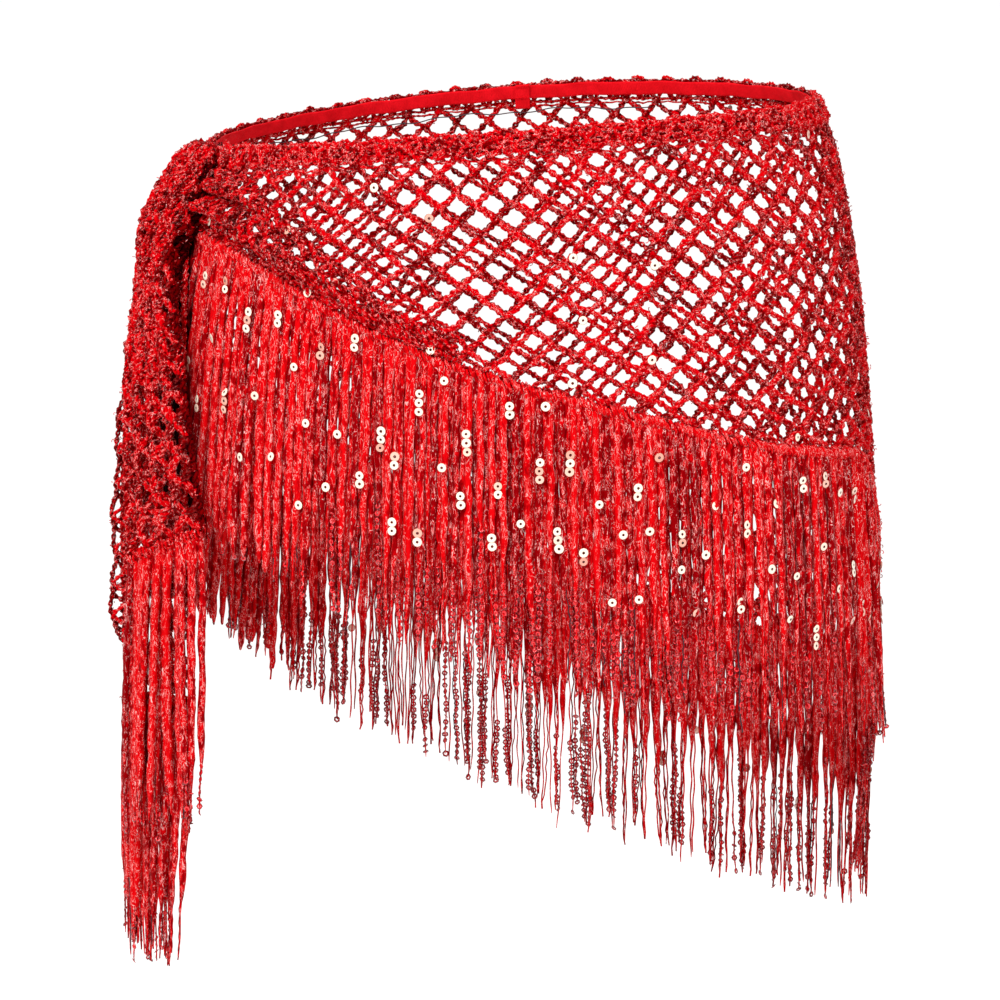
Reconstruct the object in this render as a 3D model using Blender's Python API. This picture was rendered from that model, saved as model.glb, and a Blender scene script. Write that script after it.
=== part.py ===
"""Belly dance hip scarf: a fringed triangle of net, wound round the hips and knotted at the left side.

Metres, +Z up, +X towards the hip with the long point, -Y towards the front. The origin is the centre of the waist
opening, at the height of the band. A place on the cloth is given by an angle round the body, a drop below the
band's top edge, and an offset out of the surface. Angle 0 is the +X side, -90 degrees the front, 90 the back, and
the knot lies near -165 degrees.
"""

import math
import random

import bmesh
import bpy

SEAM_GAP = 0.0004
NET_THICKNESS = 0.0016
CASING_THICKNESS = 0.0024
CASING_HEIGHT = 0.011
TAPE_THICKNESS = 0.0010
TAPE_TOP = 0.0015
TAPE_HEIGHT = 0.0070
STRIP_HEIGHT = 0.0050
STRIP_THICKNESS = 0.0022
STRAND_LENGTH = 0.137
STRAND_LENGTHS = (0.96, 1.04)
STRAND_SWAY = 0.10
STRAND_SEED = 7

# The waistline leans down to the knot, and is higher at the front and back than at the hips.
BAND_RISE = 0.0019
BAND_TILT = 0.0109
BAND_CROWN = 0.0050
BAND_BACK_LIFT = 0.0007

PANEL_COLUMNS = 42
KNOT_ANGLE = -167.0
TIP_SPLIT_ANGLE = 4.0
FULL_TURN = 360.0
SHARP_ANGLE = 50.0

# The hollow form that the net follows: drop, half width, half depth, how far its centre lies back.
BODY_SECTIONS = (
    (0.000, 0.147, 0.104, 0.000),
    (0.025, 0.157, 0.109, 0.002),
    (0.060, 0.165, 0.114, 0.005),
    (0.110, 0.173, 0.119, 0.009),
    (0.160, 0.178, 0.122, 0.012),
    (0.200, 0.181, 0.123, 0.013),
    (0.240, 0.184, 0.124, 0.014),
    (0.300, 0.187, 0.125, 0.014),
    (0.340, 0.188, 0.125, 0.014),
    (0.440, 0.188, 0.125, 0.014),
)

# The net's lower edge, from the knot round the front, the long point and the back: angle, drop.
HEM = (
    (-165.0, 0.039),
    (-150.0, 0.045),
    (-135.0, 0.058),
    (-120.0, 0.079),
    (-105.0, 0.099),
    (-90.0, 0.116),
    (-75.0, 0.132),
    (-60.0, 0.147),
    (-45.0, 0.159),
    (-30.0, 0.166),
    (-15.0, 0.174),
    (-6.0, 0.188),
    (4.0, 0.227),
    (13.0, 0.264),
    (22.0, 0.284),
    (36.0, 0.291),
    (50.0, 0.290),
    (65.0, 0.279),
    (80.0, 0.260),
    (95.0, 0.235),
    (110.0, 0.207),
    (125.0, 0.175),
    (140.0, 0.140),
    (155.0, 0.107),
    (170.0, 0.075),
    (185.0, 0.053),
    (195.0, 0.045),
)

# Folds that run out of the knot along the net. They are deepest at the knot, and die away at a number of degrees
# from it: below the casing, and at the hem.
FOLD_DEPTH = 0.0030
FOLD_COUNT = 4
FOLD_REACHES = (24.0, 88.0)
# Past the folds the free hem swings in and out a little.
HEM_WAVE_DEPTH = 0.0028
HEM_WAVES_ROUND = 7
HEM_WAVE_START = 62.0

# The knot: drop, half width along the waist, inner and outer offset.
KNOT_ROWS = (
    (0.0000, 0.0090, 0.0010, 0.0090),
    (0.0015, 0.0125, -0.0020, 0.0115),
    (0.0050, 0.0145, -0.0045, 0.0140),
    (0.0130, 0.0155, -0.0050, 0.0165),
    (0.0240, 0.0165, -0.0050, 0.0190),
    (0.0350, 0.0175, -0.0040, 0.0215),
    (0.0430, 0.0170, -0.0020, 0.0225),
    (0.0470, 0.0150, 0.0010, 0.0225),
)
KNOT_POINTS_ROUND = 40
KNOT_SQUARENESS = 3
KNOT_PLEATS = 7
KNOT_PLEAT_DEPTH = 0.09

# The two tails below the knot, the front one lying on the back one. Angles, offsets and fold depths are at the knot
# and at the hem, and columns are six to a fold.
TAILS = {
    "front": {
        "start_angles": (-161.8, -172.0),
        "end_angles": (-141.0, -160.0),
        "end_drops": (0.184, 0.202),
        "base_offsets": (0.0150, 0.0129),
        "fold_depths": (0.0040, 0.0065),
        "folds": 3.5,
        "columns": 21,
        "strands": 11,
    },
    "back": {
        "start_angles": (-162.0, -172.4),
        "end_angles": (-146.0, -187.0),
        "end_drops": (0.271, 0.283),
        "base_offsets": (0.0050, 0.0037),
        "fold_depths": (0.0035, 0.0062),
        "folds": 6.5,
        "columns": 39,
        "strands": 19,
    },
}
TAIL_THICKNESS = 0.0026
TAIL_FAN_POWER = 0.6

JOIN_ANGLE = 88.0
JOIN_TOP = 0.0007
JOIN_WIDTH = 0.0075
JOIN_HEIGHT = 0.0130
JOIN_THICKNESS = 0.0008

COLOURS = {
    "net_yarn": ((0.62, 0.008, 0.014, 1.0), 0.55, 0.0),
    "fringe_yarn": ((0.68, 0.010, 0.016, 1.0), 0.50, 0.0),
    "tape": ((0.70, 0.014, 0.014, 1.0), 0.60, 0.0),
}


def smooth(rows, x, column):
    """A column of a table at x, along a cubic that passes through every row."""
    last = len(rows) - 1
    x = min(max(x, rows[0][0]), rows[last][0])
    i = 0
    while i < last - 1 and x > rows[i + 1][0]:
        i += 1

    def slope(k):
        low, high = max(k - 1, 0), min(k + 1, last)
        return (rows[high][column] - rows[low][column]) / (rows[high][0] - rows[low][0])

    span = rows[i + 1][0] - rows[i][0]
    t = (x - rows[i][0]) / span
    rise = rows[i + 1][column] - rows[i][column]
    bend = t * (1 - t) * ((1 - t) * (slope(i) * span - rise) - t * (slope(i + 1) * span - rise))
    return rows[i][column] + t * rise + bend


def ease(t):
    """0 below 0, 1 above 1, and a smooth step between."""
    t = min(max(t, 0.0), 1.0)
    return t * t * (3 - 2 * t)


def mix(a, b, t):
    return a + (b - a) * t


def body_point(angle, drop, offset=0.0):
    """The place at an angle in degrees, a drop below the band and an offset out of the surface."""
    turn = math.radians(angle)
    half_width = smooth(BODY_SECTIONS, drop, 1) + offset
    half_depth = smooth(BODY_SECTIONS, drop, 2) + offset
    back = smooth(BODY_SECTIONS, drop, 3)
    across, along = math.cos(turn), math.sin(turn)
    top = BAND_RISE + BAND_TILT * across + BAND_CROWN * along**2 + BAND_BACK_LIFT * along
    return (half_width * across, back + half_depth * along, top - drop)


def arc_rate(angle, drop):
    """Metres along the surface for each degree."""
    a, b = body_point(angle - 0.5, drop), body_point(angle + 0.5, drop)
    return math.dist(a[:2], b[:2])


def hem_drop(angle):
    return smooth(HEM, angle, 1)


def knot_edge(drop, side):
    """The angle where a panel stops beside the knot: side 1 is the front's, side -1 the back's."""
    width = smooth(KNOT_ROWS, drop, 1) + SEAM_GAP
    return KNOT_ANGLE + side * width / arc_rate(KNOT_ANGLE, drop)


def net_offset(angle, share):
    """How far the net stands off its form: folds out of the knot, and a free wave at the hem. share is 0 at the
    casing and 1 at the hem."""
    from_knot = min(angle - KNOT_ANGLE, KNOT_ANGLE + FULL_TURN - angle)
    reach = mix(*FOLD_REACHES, share)
    fold = FOLD_DEPTH * ease(1 - from_knot / reach) * math.sin(2 * math.pi * FOLD_COUNT * share)
    swing = ease(from_knot / HEM_WAVE_START) * math.sin(math.radians(HEM_WAVES_ROUND * angle)) * share**2
    return fold + HEM_WAVE_DEPTH * swing


def material(slot):
    made = bpy.data.materials.get(slot)
    if made is None:
        made = bpy.data.materials.new(slot)
        made.use_nodes = True
        shader = made.node_tree.nodes["Principled BSDF"]
        colour, roughness, metallic = COLOURS[slot]
        shader.inputs["Base Color"].default_value = colour
        shader.inputs["Roughness"].default_value = roughness
        shader.inputs["Metallic"].default_value = metallic
    return made


def add_object(name, mesh_data, slot):
    """Makes a named object of a finished bmesh, shaded smooth with its sharp edges kept."""
    bmesh.ops.recalc_face_normals(mesh_data, faces=mesh_data.faces)
    mesh = bpy.data.meshes.new(name)
    mesh_data.to_mesh(mesh)
    mesh_data.free()
    mesh.materials.append(material(slot))
    mesh.shade_smooth()
    mesh.set_sharp_from_angle(angle=math.radians(SHARP_ANGLE))
    made = bpy.data.objects.new(name, mesh)
    bpy.context.scene.collection.objects.link(made)
    return made


def wall(name, slot, across, down, place, thickness):
    """A closed wall of cloth. place(u, v) gives the angle, drop and middle offset for u along it and v down it."""
    mesh_data = bmesh.new()
    sides = []
    for side in (0.5, -0.5):
        grid = []
        for i in range(across + 1):
            column = []
            for j in range(down + 1):
                angle, drop, offset = place(i / across, j / down)
                column.append(mesh_data.verts.new(body_point(angle, drop, offset + side * thickness)))
            grid.append(column)
        sides.append(grid)
    outer, inner = sides
    for grid in sides:
        for i in range(across):
            for j in range(down):
                mesh_data.faces.new((grid[i][j], grid[i][j + 1], grid[i + 1][j + 1], grid[i + 1][j]))
    for i in range(across):
        for j in (0, down):
            mesh_data.faces.new((outer[i][j], outer[i + 1][j], inner[i + 1][j], inner[i][j]))
    for j in range(down):
        for i in (0, across):
            mesh_data.faces.new((outer[i][j], outer[i][j + 1], inner[i][j + 1], inner[i][j]))
    return add_object(name, mesh_data, slot)


def panel_angles(side, drop):
    """Where a panel starts and ends at a drop. The front runs from the knot to the long point, the back from there
    on round to the knot."""
    if side == "front":
        return knot_edge(drop, 1), TIP_SPLIT_ANGLE
    half_gap = math.degrees(SEAM_GAP / BODY_SECTIONS[0][2])
    return TIP_SPLIT_ANGLE + half_gap, knot_edge(drop, -1) + FULL_TURN


def panel_place(side, u, v):
    """A place on a net panel: u along it and v from the casing to the hem. Beside the knot its end follows the
    knot's side down."""
    top = CASING_HEIGHT + SEAM_GAP
    hem_beside_knot = hem_drop(KNOT_ANGLE if side == "front" else KNOT_ANGLE + FULL_TURN)
    start, end = panel_angles(side, mix(top, hem_beside_knot, v))
    angle = mix(start, end, u)
    return angle, mix(top, hem_drop(angle), v), net_offset(angle, v)


def net_panel(side, down):
    return wall(
        f"{side}_net",
        "net_yarn",
        PANEL_COLUMNS,
        down,
        lambda u, v: panel_place(side, u, v),
        NET_THICKNESS,
    )


def waist_casing(side, across):
    start, end = panel_angles(side, CASING_HEIGHT)

    def place(u, v):
        return mix(start, end, u), v * CASING_HEIGHT, 0.0

    return wall(f"{side}_casing", "net_yarn", across, 1, place, CASING_THICKNESS)


def waist_tape(across):
    """The flat tape that stiffens the waist, sewn inside the casing all the way from one side of the knot to the
    other."""
    offset = -CASING_THICKNESS / 2 - SEAM_GAP - TAPE_THICKNESS / 2
    start = knot_edge(CASING_HEIGHT, 1)
    end = knot_edge(CASING_HEIGHT, -1) + FULL_TURN

    def place(u, v):
        return mix(start, end, u), TAPE_TOP + v * TAPE_HEIGHT, offset

    return wall("waist_tape", "tape", across, 1, place, TAPE_THICKNESS)


def back_join():
    """The overlap that closes the tape at the centre back."""
    offset = -CASING_THICKNESS / 2 - 2 * SEAM_GAP - TAPE_THICKNESS - JOIN_THICKNESS / 2
    half = 0.5 * JOIN_WIDTH / arc_rate(JOIN_ANGLE, TAPE_TOP)

    def place(u, v):
        return mix(JOIN_ANGLE - half, JOIN_ANGLE + half, u), JOIN_TOP + v * JOIN_HEIGHT, offset

    return wall("back_join", "tape", 2, 1, place, JOIN_THICKNESS)


def knot():
    """The tied knot, a pleated lump that widens downwards. Each level is a superellipse."""
    mesh_data = bmesh.new()
    power = 2 / KNOT_SQUARENESS
    loops = []
    for drop, half_width, inner, outer in KNOT_ROWS:
        middle, half = (inner + outer) / 2, (outer - inner) / 2
        loop = []
        for k in range(KNOT_POINTS_ROUND):
            turn = 2 * math.pi * (k + 0.5) / KNOT_POINTS_ROUND
            along = math.copysign(abs(math.cos(turn)) ** power, math.cos(turn))
            out = math.copysign(abs(math.sin(turn)) ** power, math.sin(turn))
            if out > 0:
                out *= 1 + KNOT_PLEAT_DEPTH * math.cos(math.pi * KNOT_PLEATS * along)
            angle = KNOT_ANGLE + along * half_width / arc_rate(KNOT_ANGLE, drop)
            loop.append(mesh_data.verts.new(body_point(angle, drop, middle + half * out)))
        loops.append(loop)
    for upper, lower in zip(loops, loops[1:]):
        for k in range(KNOT_POINTS_ROUND):
            n = (k + 1) % KNOT_POINTS_ROUND
            mesh_data.faces.new((upper[k], upper[n], lower[n], lower[k]))
    mesh_data.faces.new(loops[0])
    mesh_data.faces.new(loops[-1])
    return add_object("knot", mesh_data, "net_yarn")


def tail_place(tail, u, v):
    """A place on a tail: u from its front edge to its back edge, v from the knot to its hem. It fans out fastest
    just below the knot, and its folds deepen as it does."""
    fan = v**TAIL_FAN_POWER
    angle = mix(
        mix(tail["start_angles"][0], tail["end_angles"][0], fan),
        mix(tail["start_angles"][1], tail["end_angles"][1], fan),
        u,
    )
    drop = mix(KNOT_ROWS[-1][0] + SEAM_GAP, mix(*tail["end_drops"], u), v)
    fold = mix(*tail["fold_depths"], fan) * (0.5 - 0.5 * math.cos(2 * math.pi * tail["folds"] * u))
    return angle, drop, mix(*tail["base_offsets"], v) + fold


def tail_net(name, down):
    tail = TAILS[name]
    return wall(
        f"{name}_tail",
        "net_yarn",
        tail["columns"],
        down,
        lambda u, v: tail_place(tail, u, v),
        TAIL_THICKNESS,
    )


def faceted(place, across):
    """The same edge as a wall's own facets have it: straight from each of its columns to the next."""

    def edge(u):
        column = min(int(u * across), across - 1)
        left, right = place(column / across), place((column + 1) / across)
        return tuple(mix(a, b, u * across - column) for a, b in zip(left, right))

    return edge


def even_stations(place, count):
    """Shares along an edge that space count + 1 points evenly by real length. place(u) gives a point."""
    steps = 400
    points = [place(k / steps) for k in range(steps + 1)]
    run = [0.0]
    for a, b in zip(points, points[1:]):
        run.append(run[-1] + math.dist(a, b))
    shares = []
    k = 0
    for n in range(count + 1):
        wanted = run[-1] * n / count
        while k < steps - 1 and run[k + 1] < wanted:
            k += 1
        shares.append((k + (wanted - run[k]) / (run[k + 1] - run[k])) / steps)
    return shares


def fringe(name, edge, strands):
    """A heading strip along an edge with strands that hang from its underside, in one closed body. edge(u) gives
    the angle, drop and offset of the cloth's edge. The strip is a chain of cells, each of which is either a gap or
    the root of a strand."""
    dice = random.Random(STRAND_SEED)
    cells = 2 * strands + 1
    shares = even_stations(lambda u: body_point(*edge(u)), cells)
    half = STRIP_THICKNESS / 2
    mesh_data = bmesh.new()
    stations = []
    for share in shares:
        angle, drop, offset = edge(share)
        top, bottom = drop + SEAM_GAP, drop + SEAM_GAP + STRIP_HEIGHT
        corners = ((top, half), (bottom, half), (bottom, -half), (top, -half))
        stations.append([mesh_data.verts.new(body_point(angle, d, offset + s)) for d, s in corners])
    for end in (stations[0], stations[-1]):
        mesh_data.faces.new(end)
    for k in range(cells):
        a, b = stations[k], stations[k + 1]
        for m in (0, 2, 3):
            n = (m + 1) % 4
            mesh_data.faces.new((a[m], a[n], b[n], b[m]))
        root = [a[1], b[1], b[2], a[2]]
        if k % 2 == 0:
            mesh_data.faces.new(root)
            continue
        strand(mesh_data, root, edge(shares[k]), edge(shares[k + 1]), dice)
    return add_object(name, mesh_data, "fringe_yarn")


def strand(mesh_data, root, left, right, dice):
    """A four-sided strand below a root of four points. It hangs down the form, narrows a little, and ends at a
    length of its own."""
    length = STRAND_LENGTH * dice.uniform(*STRAND_LENGTHS)
    sway = dice.uniform(-STRAND_SWAY, STRAND_SWAY)
    above = root
    for share, narrow in ((0.5, 0.92), (1.0, 0.70)):
        middle = [(p + q) / 2 for p, q in zip(left, right)]
        half_span = (right[0] - left[0]) / 2
        half = STRIP_THICKNESS / 2 * narrow
        ring = []
        for side, out in ((-1, half), (1, half), (1, -half), (-1, -half)):
            angle = middle[0] + half_span * (side * narrow + 2 * sway * share)
            slant = (right[1] - left[1]) / 2 * side * narrow * (1 - share)
            drop = middle[1] + SEAM_GAP + STRIP_HEIGHT + share * (length - STRIP_HEIGHT) + slant
            ring.append(mesh_data.verts.new(body_point(angle, drop, middle[2] + out)))
        for k in range(4):
            n = (k + 1) % 4
            mesh_data.faces.new((above[k], above[n], ring[n], ring[k]))
        above = ring
    mesh_data.faces.new(above)


def hem_fringe(side, strands):
    edge = faceted(lambda u: panel_place(side, u, 1.0), PANEL_COLUMNS)
    return fringe(f"{side}_fringe", edge, strands)


def tail_fringe(name):
    tail = TAILS[name]
    edge = faceted(lambda u: tail_place(tail, u, 1.0), tail["columns"])
    return fringe(f"{name}_tail_fringe", edge, tail["strands"])


def main():
    for old in list(bpy.data.objects):
        bpy.data.objects.remove(old)
    waist_tape(across=56)
    back_join()
    waist_casing("front", across=32)
    waist_casing("back", across=32)
    net_panel("front", down=16)
    net_panel("back", down=14)
    knot()
    for name in TAILS:
        tail_net(name, down=9)
        tail_fringe(name)
    hem_fringe("front", strands=84)
    hem_fringe("back", strands=84)


main()
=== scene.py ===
import math

import bpy
import numpy as np
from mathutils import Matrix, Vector


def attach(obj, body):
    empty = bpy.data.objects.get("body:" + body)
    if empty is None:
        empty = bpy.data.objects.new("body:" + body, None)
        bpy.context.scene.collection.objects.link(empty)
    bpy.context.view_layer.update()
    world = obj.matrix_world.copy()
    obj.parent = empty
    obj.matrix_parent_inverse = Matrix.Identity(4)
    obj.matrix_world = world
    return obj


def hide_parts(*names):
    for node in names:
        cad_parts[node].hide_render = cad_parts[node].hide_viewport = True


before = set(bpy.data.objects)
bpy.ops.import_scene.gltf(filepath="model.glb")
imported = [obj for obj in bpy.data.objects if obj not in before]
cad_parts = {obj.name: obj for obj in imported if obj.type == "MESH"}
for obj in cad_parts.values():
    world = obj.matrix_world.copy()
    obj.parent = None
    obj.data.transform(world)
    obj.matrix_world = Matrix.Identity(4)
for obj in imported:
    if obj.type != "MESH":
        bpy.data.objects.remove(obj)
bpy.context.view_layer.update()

# Belly dance hip scarf, worn: open net of fuzzy yarn spun with metallised film, a knot at the left hip, and
# a fringe of twisted cords strung with sequins. Metres, +Z up, +X to the hip with the long point, -Y to the
# front. A place on the cloth is an angle round the body, a drop below the band's top edge and an offset out
# of it.

# The worn form, as in the part's solids

BAND_RISE = 0.0019
BAND_TILT = 0.0109
BAND_CROWN = 0.0050
BAND_BACK_LIFT = 0.0007
KNOT_ANGLE = -167.0
TIP_SPLIT_ANGLE = 4.0
FULL_TURN = 360.0

# Drop, half width, half depth, how far the centre lies back.
BODY_SECTIONS = np.array((
    (0.000, 0.147, 0.104, 0.000),
    (0.025, 0.157, 0.109, 0.002),
    (0.060, 0.165, 0.114, 0.005),
    (0.110, 0.173, 0.119, 0.009),
    (0.160, 0.178, 0.122, 0.012),
    (0.200, 0.181, 0.123, 0.013),
    (0.240, 0.184, 0.124, 0.014),
    (0.300, 0.187, 0.125, 0.014),
    (0.340, 0.188, 0.125, 0.014),
    (0.440, 0.188, 0.125, 0.014),
))

# The net's lower edge from the knot round the front, the long point and the back: angle, drop.
HEM = np.array((
    (-165.0, 0.039),
    (-150.0, 0.045),
    (-135.0, 0.058),
    (-120.0, 0.079),
    (-105.0, 0.099),
    (-90.0, 0.116),
    (-75.0, 0.132),
    (-60.0, 0.147),
    (-45.0, 0.159),
    (-30.0, 0.166),
    (-15.0, 0.174),
    (-6.0, 0.188),
    (4.0, 0.227),
    (13.0, 0.264),
    (22.0, 0.284),
    (36.0, 0.291),
    (50.0, 0.290),
    (65.0, 0.279),
    (80.0, 0.260),
    (95.0, 0.235),
    (110.0, 0.207),
    (125.0, 0.175),
    (140.0, 0.140),
    (155.0, 0.107),
    (170.0, 0.075),
    (185.0, 0.053),
    (195.0, 0.045),
))

# Where the net starts below the band's edge, its folds out of the knot, and the free wave of its hem. The
# folds die away at a number of degrees from the knot, at the band and at the hem.
NET_TOP = 0.0114
BAND_EDGE = 0.0012
FOLD_DEPTH = 0.0030
FOLD_COUNT = 4
FOLD_REACHES = (24.0, 88.0)
HEM_WAVE_DEPTH = 0.0028
HEM_WAVES_ROUND = 7
HEM_WAVE_START = 62.0

# The knot: drop, half width along the waist, inner and outer offset.
KNOT_ROWS = np.array((
    (0.0000, 0.0090, 0.0010, 0.0090),
    (0.0015, 0.0125, -0.0020, 0.0115),
    (0.0050, 0.0145, -0.0045, 0.0140),
    (0.0130, 0.0155, -0.0050, 0.0165),
    (0.0240, 0.0165, -0.0050, 0.0190),
    (0.0350, 0.0175, -0.0040, 0.0215),
    (0.0430, 0.0170, -0.0020, 0.0225),
    (0.0470, 0.0150, 0.0010, 0.0225),
))
KNOT_POWER = 2 / 3
KNOT_PLEATS = 7
KNOT_PLEAT_DEPTH = 0.09
KNOT_BOTTOM = 0.047

# The two tails below the knot. Angles, offsets and fold depths are at the knot and at the hem. A tail's net
# is so many half meshes across and down, in so many layers: a half mesh's shift down and a lift for each.
TAIL_TOP = 0.0474
TAIL_FAN_POWER = 0.6
TAILS = {
    "front": {
        "start_angles": (-161.8, -172.0),
        "end_angles": (-141.0, -160.0),
        "end_drops": (0.184, 0.202),
        "base_offsets": (0.0150, 0.0129),
        "fold_depths": (0.0040, 0.0065),
        "folds": 3.5,
        "bulge": 0.0030,
        "meshes": (12, 18),
        "layers": ((0.0, 0.0), (0.5, 0.0010)),
    },
    "back": {
        "start_angles": (-162.0, -172.4),
        "end_angles": (-146.0, -187.0),
        "end_drops": (0.271, 0.283),
        "base_offsets": (0.0050, 0.0037),
        "fold_depths": (0.0035, 0.0062),
        "folds": 6.5,
        "bulge": 0.0080,
        "meshes": (20, 28),
        "layers": ((0.0, 0.0),),
    },
}

# The back tail's outermost meshes, open loops that stand out from it: where they lie, the drops between
# which they run, how far they stand out, and the length of one.
RIM_ANGLE = -180.0
RIM_DROPS = (0.058, 0.268)
RIM_REACH = 0.0098
RIM_PERIOD = 0.0172

# The cloth's own measures, in metres

# Half a mesh across and down, counted along the drop where the net hangs free.
HALF_ACROSS = 0.00875
HALF_DOWN = 0.0075
REFERENCE_DROP = 0.050
# The columns of meshes lean towards the long point, for each metre down, and the knot gathers the net
# within a number of degrees of it.
LEAN = 0.60
LEAN_CENTRE = 36.0
LEAN_SPREAD = 90.0
GATHER = 0.70
GATHER_REACH = 75.0

# The yarn: each ply's radius, how far the plies lie from its middle and the length of a turn, in the net
# and where it is pulled over the knot, how uneven a ply is, the lump at a crossing, and a loose fibre.
PLY_RADIUS = 0.00104
LAY_RADIUS = 0.00098
YARN_PITCH = 0.0078
DRAPE_PLY = 0.00110
DRAPE_LAY = 0.00095
DRAPE_PITCH = 0.0085
RAGGED = 0.13
CROSSING_RADIUS = 0.0021
CURL_RADIUS = 0.00024

# The band's two halves, by angle, and the tape inside it with its sewn overlap.
FRONT_BAND = (-162.0, TIP_SPLIT_ANGLE)
BACK_BAND = (TIP_SPLIT_ANGLE, 188.0)
TAPE_ENDS = (-160.3, 186.3)
TAPE_DROPS = (0.0015, 0.0085)
JOIN_ANGLE = 88.0
JOIN_WIDTH = 0.0075
JOIN_DROPS = (0.0007, 0.0137)

# The braid that heads a fringe, the distance between its stitches and between its cords, a cord's length,
# and its radius above and below the place where it thins out.
HEADING_TOP = 0.0006
HEADING_HEIGHT = 0.0052
STITCH_SPACING = 0.0017
CORD_SPACING = 0.0028
CORD_LENGTH = 0.137
CORD_RADIUS = 0.00196
THINNED_RADIUS = 0.00046

# Sequins: radius and spacing along a cord.
STRUNG_RADIUS = 0.00175
STRUNG_SPACING = 0.0034
GLINT_SEQUIN_RADIUS = 0.0023
GLINT_SEQUIN_SPACING = 0.0041

# Creases pressed into the net by the pull of the knot. Each runs from an angle and a share of the depth to
# another, stands off by a depth, and is so wide in shares.
CREASES = (
    (-163.0, 0.16, -112.0, 0.60, 0.0034, 0.070),
    (-163.0, 0.34, -96.0, 0.93, -0.0030, 0.080),
    (-163.0, 0.52, -104.0, 1.02, 0.0046, 0.090),
    (-160.0, 0.74, -126.0, 1.04, -0.0032, 0.075),
    (-148.0, 0.06, -92.0, 0.36, 0.0022, 0.060),
    (191.0, 0.20, 138.0, 0.52, 0.0030, 0.080),
    (191.0, 0.45, 126.0, 0.90, -0.0034, 0.090),
    (191.0, 0.70, 142.0, 1.02, 0.0038, 0.080),
    (30.0, 0.30, 62.0, 0.92, 0.0020, 0.110),
)

# The groove beside the knot and the front tail, where little light gets in, and where the yarns' colour has
# painted shade: drop, and the angle up to which it reaches. The painted shade fades over a number of
# degrees. The body's depth over its width serves to read an angle back.
GROOVE = np.array((
    (0.010, -156.5),
    (0.060, -157.0),
    (0.100, -154.0),
    (0.153, -147.0),
    (0.200, -145.0),
))
GROOVE_SHADE = 4.5
BODY_DEPTH_SHARE = 0.70


def smooth(rows, x, column):
    """A column of a table at x: a cubic through each row, whose slope there is that of the line between the
    rows on its two sides."""
    knots, values = rows[:, 0], rows[:, column]
    last = len(knots) - 1
    low = np.maximum(np.arange(last + 1) - 1, 0)
    high = np.minimum(np.arange(last + 1) + 1, last)
    slopes = (values[high] - values[low]) / (knots[high] - knots[low])
    x = np.clip(x, knots[0], knots[last])
    i = np.clip(np.searchsorted(knots, x) - 1, 0, last - 1)
    span = knots[i + 1] - knots[i]
    t = (x - knots[i]) / span
    rise = values[i + 1] - values[i]
    bend = t * (1 - t) * ((1 - t) * (slopes[i] * span - rise) - t * (slopes[i + 1] * span - rise))
    return values[i] + t * rise + bend


def ease(t):
    """0 below 0, 1 above 1 and 3t² - 2t³ between."""
    t = np.clip(t, 0.0, 1.0)
    return t * t * (3 - 2 * t)


def mix(a, b, t):
    return a + (b - a) * t


def body_point(angle, drop, offset=0.0):
    """x = (half width + offset)·cos angle, y = centre + (half depth + offset)·sin angle, and z is the
    leaning band's height less the drop."""
    turn = np.radians(angle)
    across, along = np.cos(turn), np.sin(turn)
    x = (smooth(BODY_SECTIONS, drop, 1) + offset) * across
    y = smooth(BODY_SECTIONS, drop, 3) + (smooth(BODY_SECTIONS, drop, 2) + offset) * along
    z = BAND_RISE + BAND_TILT * across + BAND_CROWN * along**2 + BAND_BACK_LIFT * along - drop
    return np.stack(np.broadcast_arrays(x, y, z), -1)


def body_out(angle):
    """The level direction out of the surface at an angle."""
    turn = np.radians(angle)
    return np.stack([np.cos(turn), np.sin(turn), np.zeros_like(turn)], -1)


def arc_rate(angle, drop):
    """Metres along the surface for each degree."""
    ends = body_point(angle + 0.5, drop) - body_point(angle - 0.5, drop)
    return np.hypot(ends[..., 0], ends[..., 1])


def hem_drop(angle):
    return smooth(HEM, angle, 1)


def from_knot(angle):
    return np.minimum(angle - KNOT_ANGLE, KNOT_ANGLE + FULL_TURN - angle)


def crease(angle, share):
    """The sum of depth·exp(-(distance in shares from the crease's line / width)²), eased off towards its
    end."""
    total = np.zeros(np.broadcast(angle, share).shape)
    for start, share_0, end, share_1, depth, width in CREASES:
        t = (angle - start) / (end - start)
        line = mix(share_0, share_1, t)
        strength = ease(1.15 - t) * ease(t * 8 + 0.5)
        total = total + depth * strength * np.exp(-(((share - line) / width) ** 2))
    return total


def groove(angle, drop):
    """How far a place lies in the groove between the front net with its fringe and the knot with its tail,
    from 0
    to 1: the strength of the painted shade its yarn gets."""
    return ease((np.interp(drop, GROOVE[:, 0], GROOVE[:, 1]) - angle) / GROOVE_SHADE)


def net_offset(angle, share):
    """How far the net stands off its form: the solid's folds and hem wave, and the creases."""
    away = from_knot(angle)
    reach = mix(*FOLD_REACHES, share)
    fold = FOLD_DEPTH * ease(1 - away / reach) * np.sin(2 * np.pi * FOLD_COUNT * share)
    swing = ease(away / HEM_WAVE_START) * np.sin(np.radians(HEM_WAVES_ROUND * angle)) * share**2
    return fold + HEM_WAVE_DEPTH * swing + crease(angle, share)


# Meshes


def frames(paths, out):
    """Directions along, beside and over each point of paths (N, R, 3), and the length run up to it. Beside
    is out × along, and over is along × beside."""
    along = np.gradient(paths, axis=1)
    along /= np.linalg.norm(along, axis=-1, keepdims=True) + 1e-12
    beside = np.cross(out, along)
    beside /= np.linalg.norm(beside, axis=-1, keepdims=True) + 1e-12
    over = np.cross(along, beside)
    steps = np.linalg.norm(np.diff(paths, axis=1), axis=-1)
    run = np.concatenate([np.zeros((len(paths), 1)), np.cumsum(steps, axis=1)], axis=1)
    return along, beside, over, run


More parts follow.
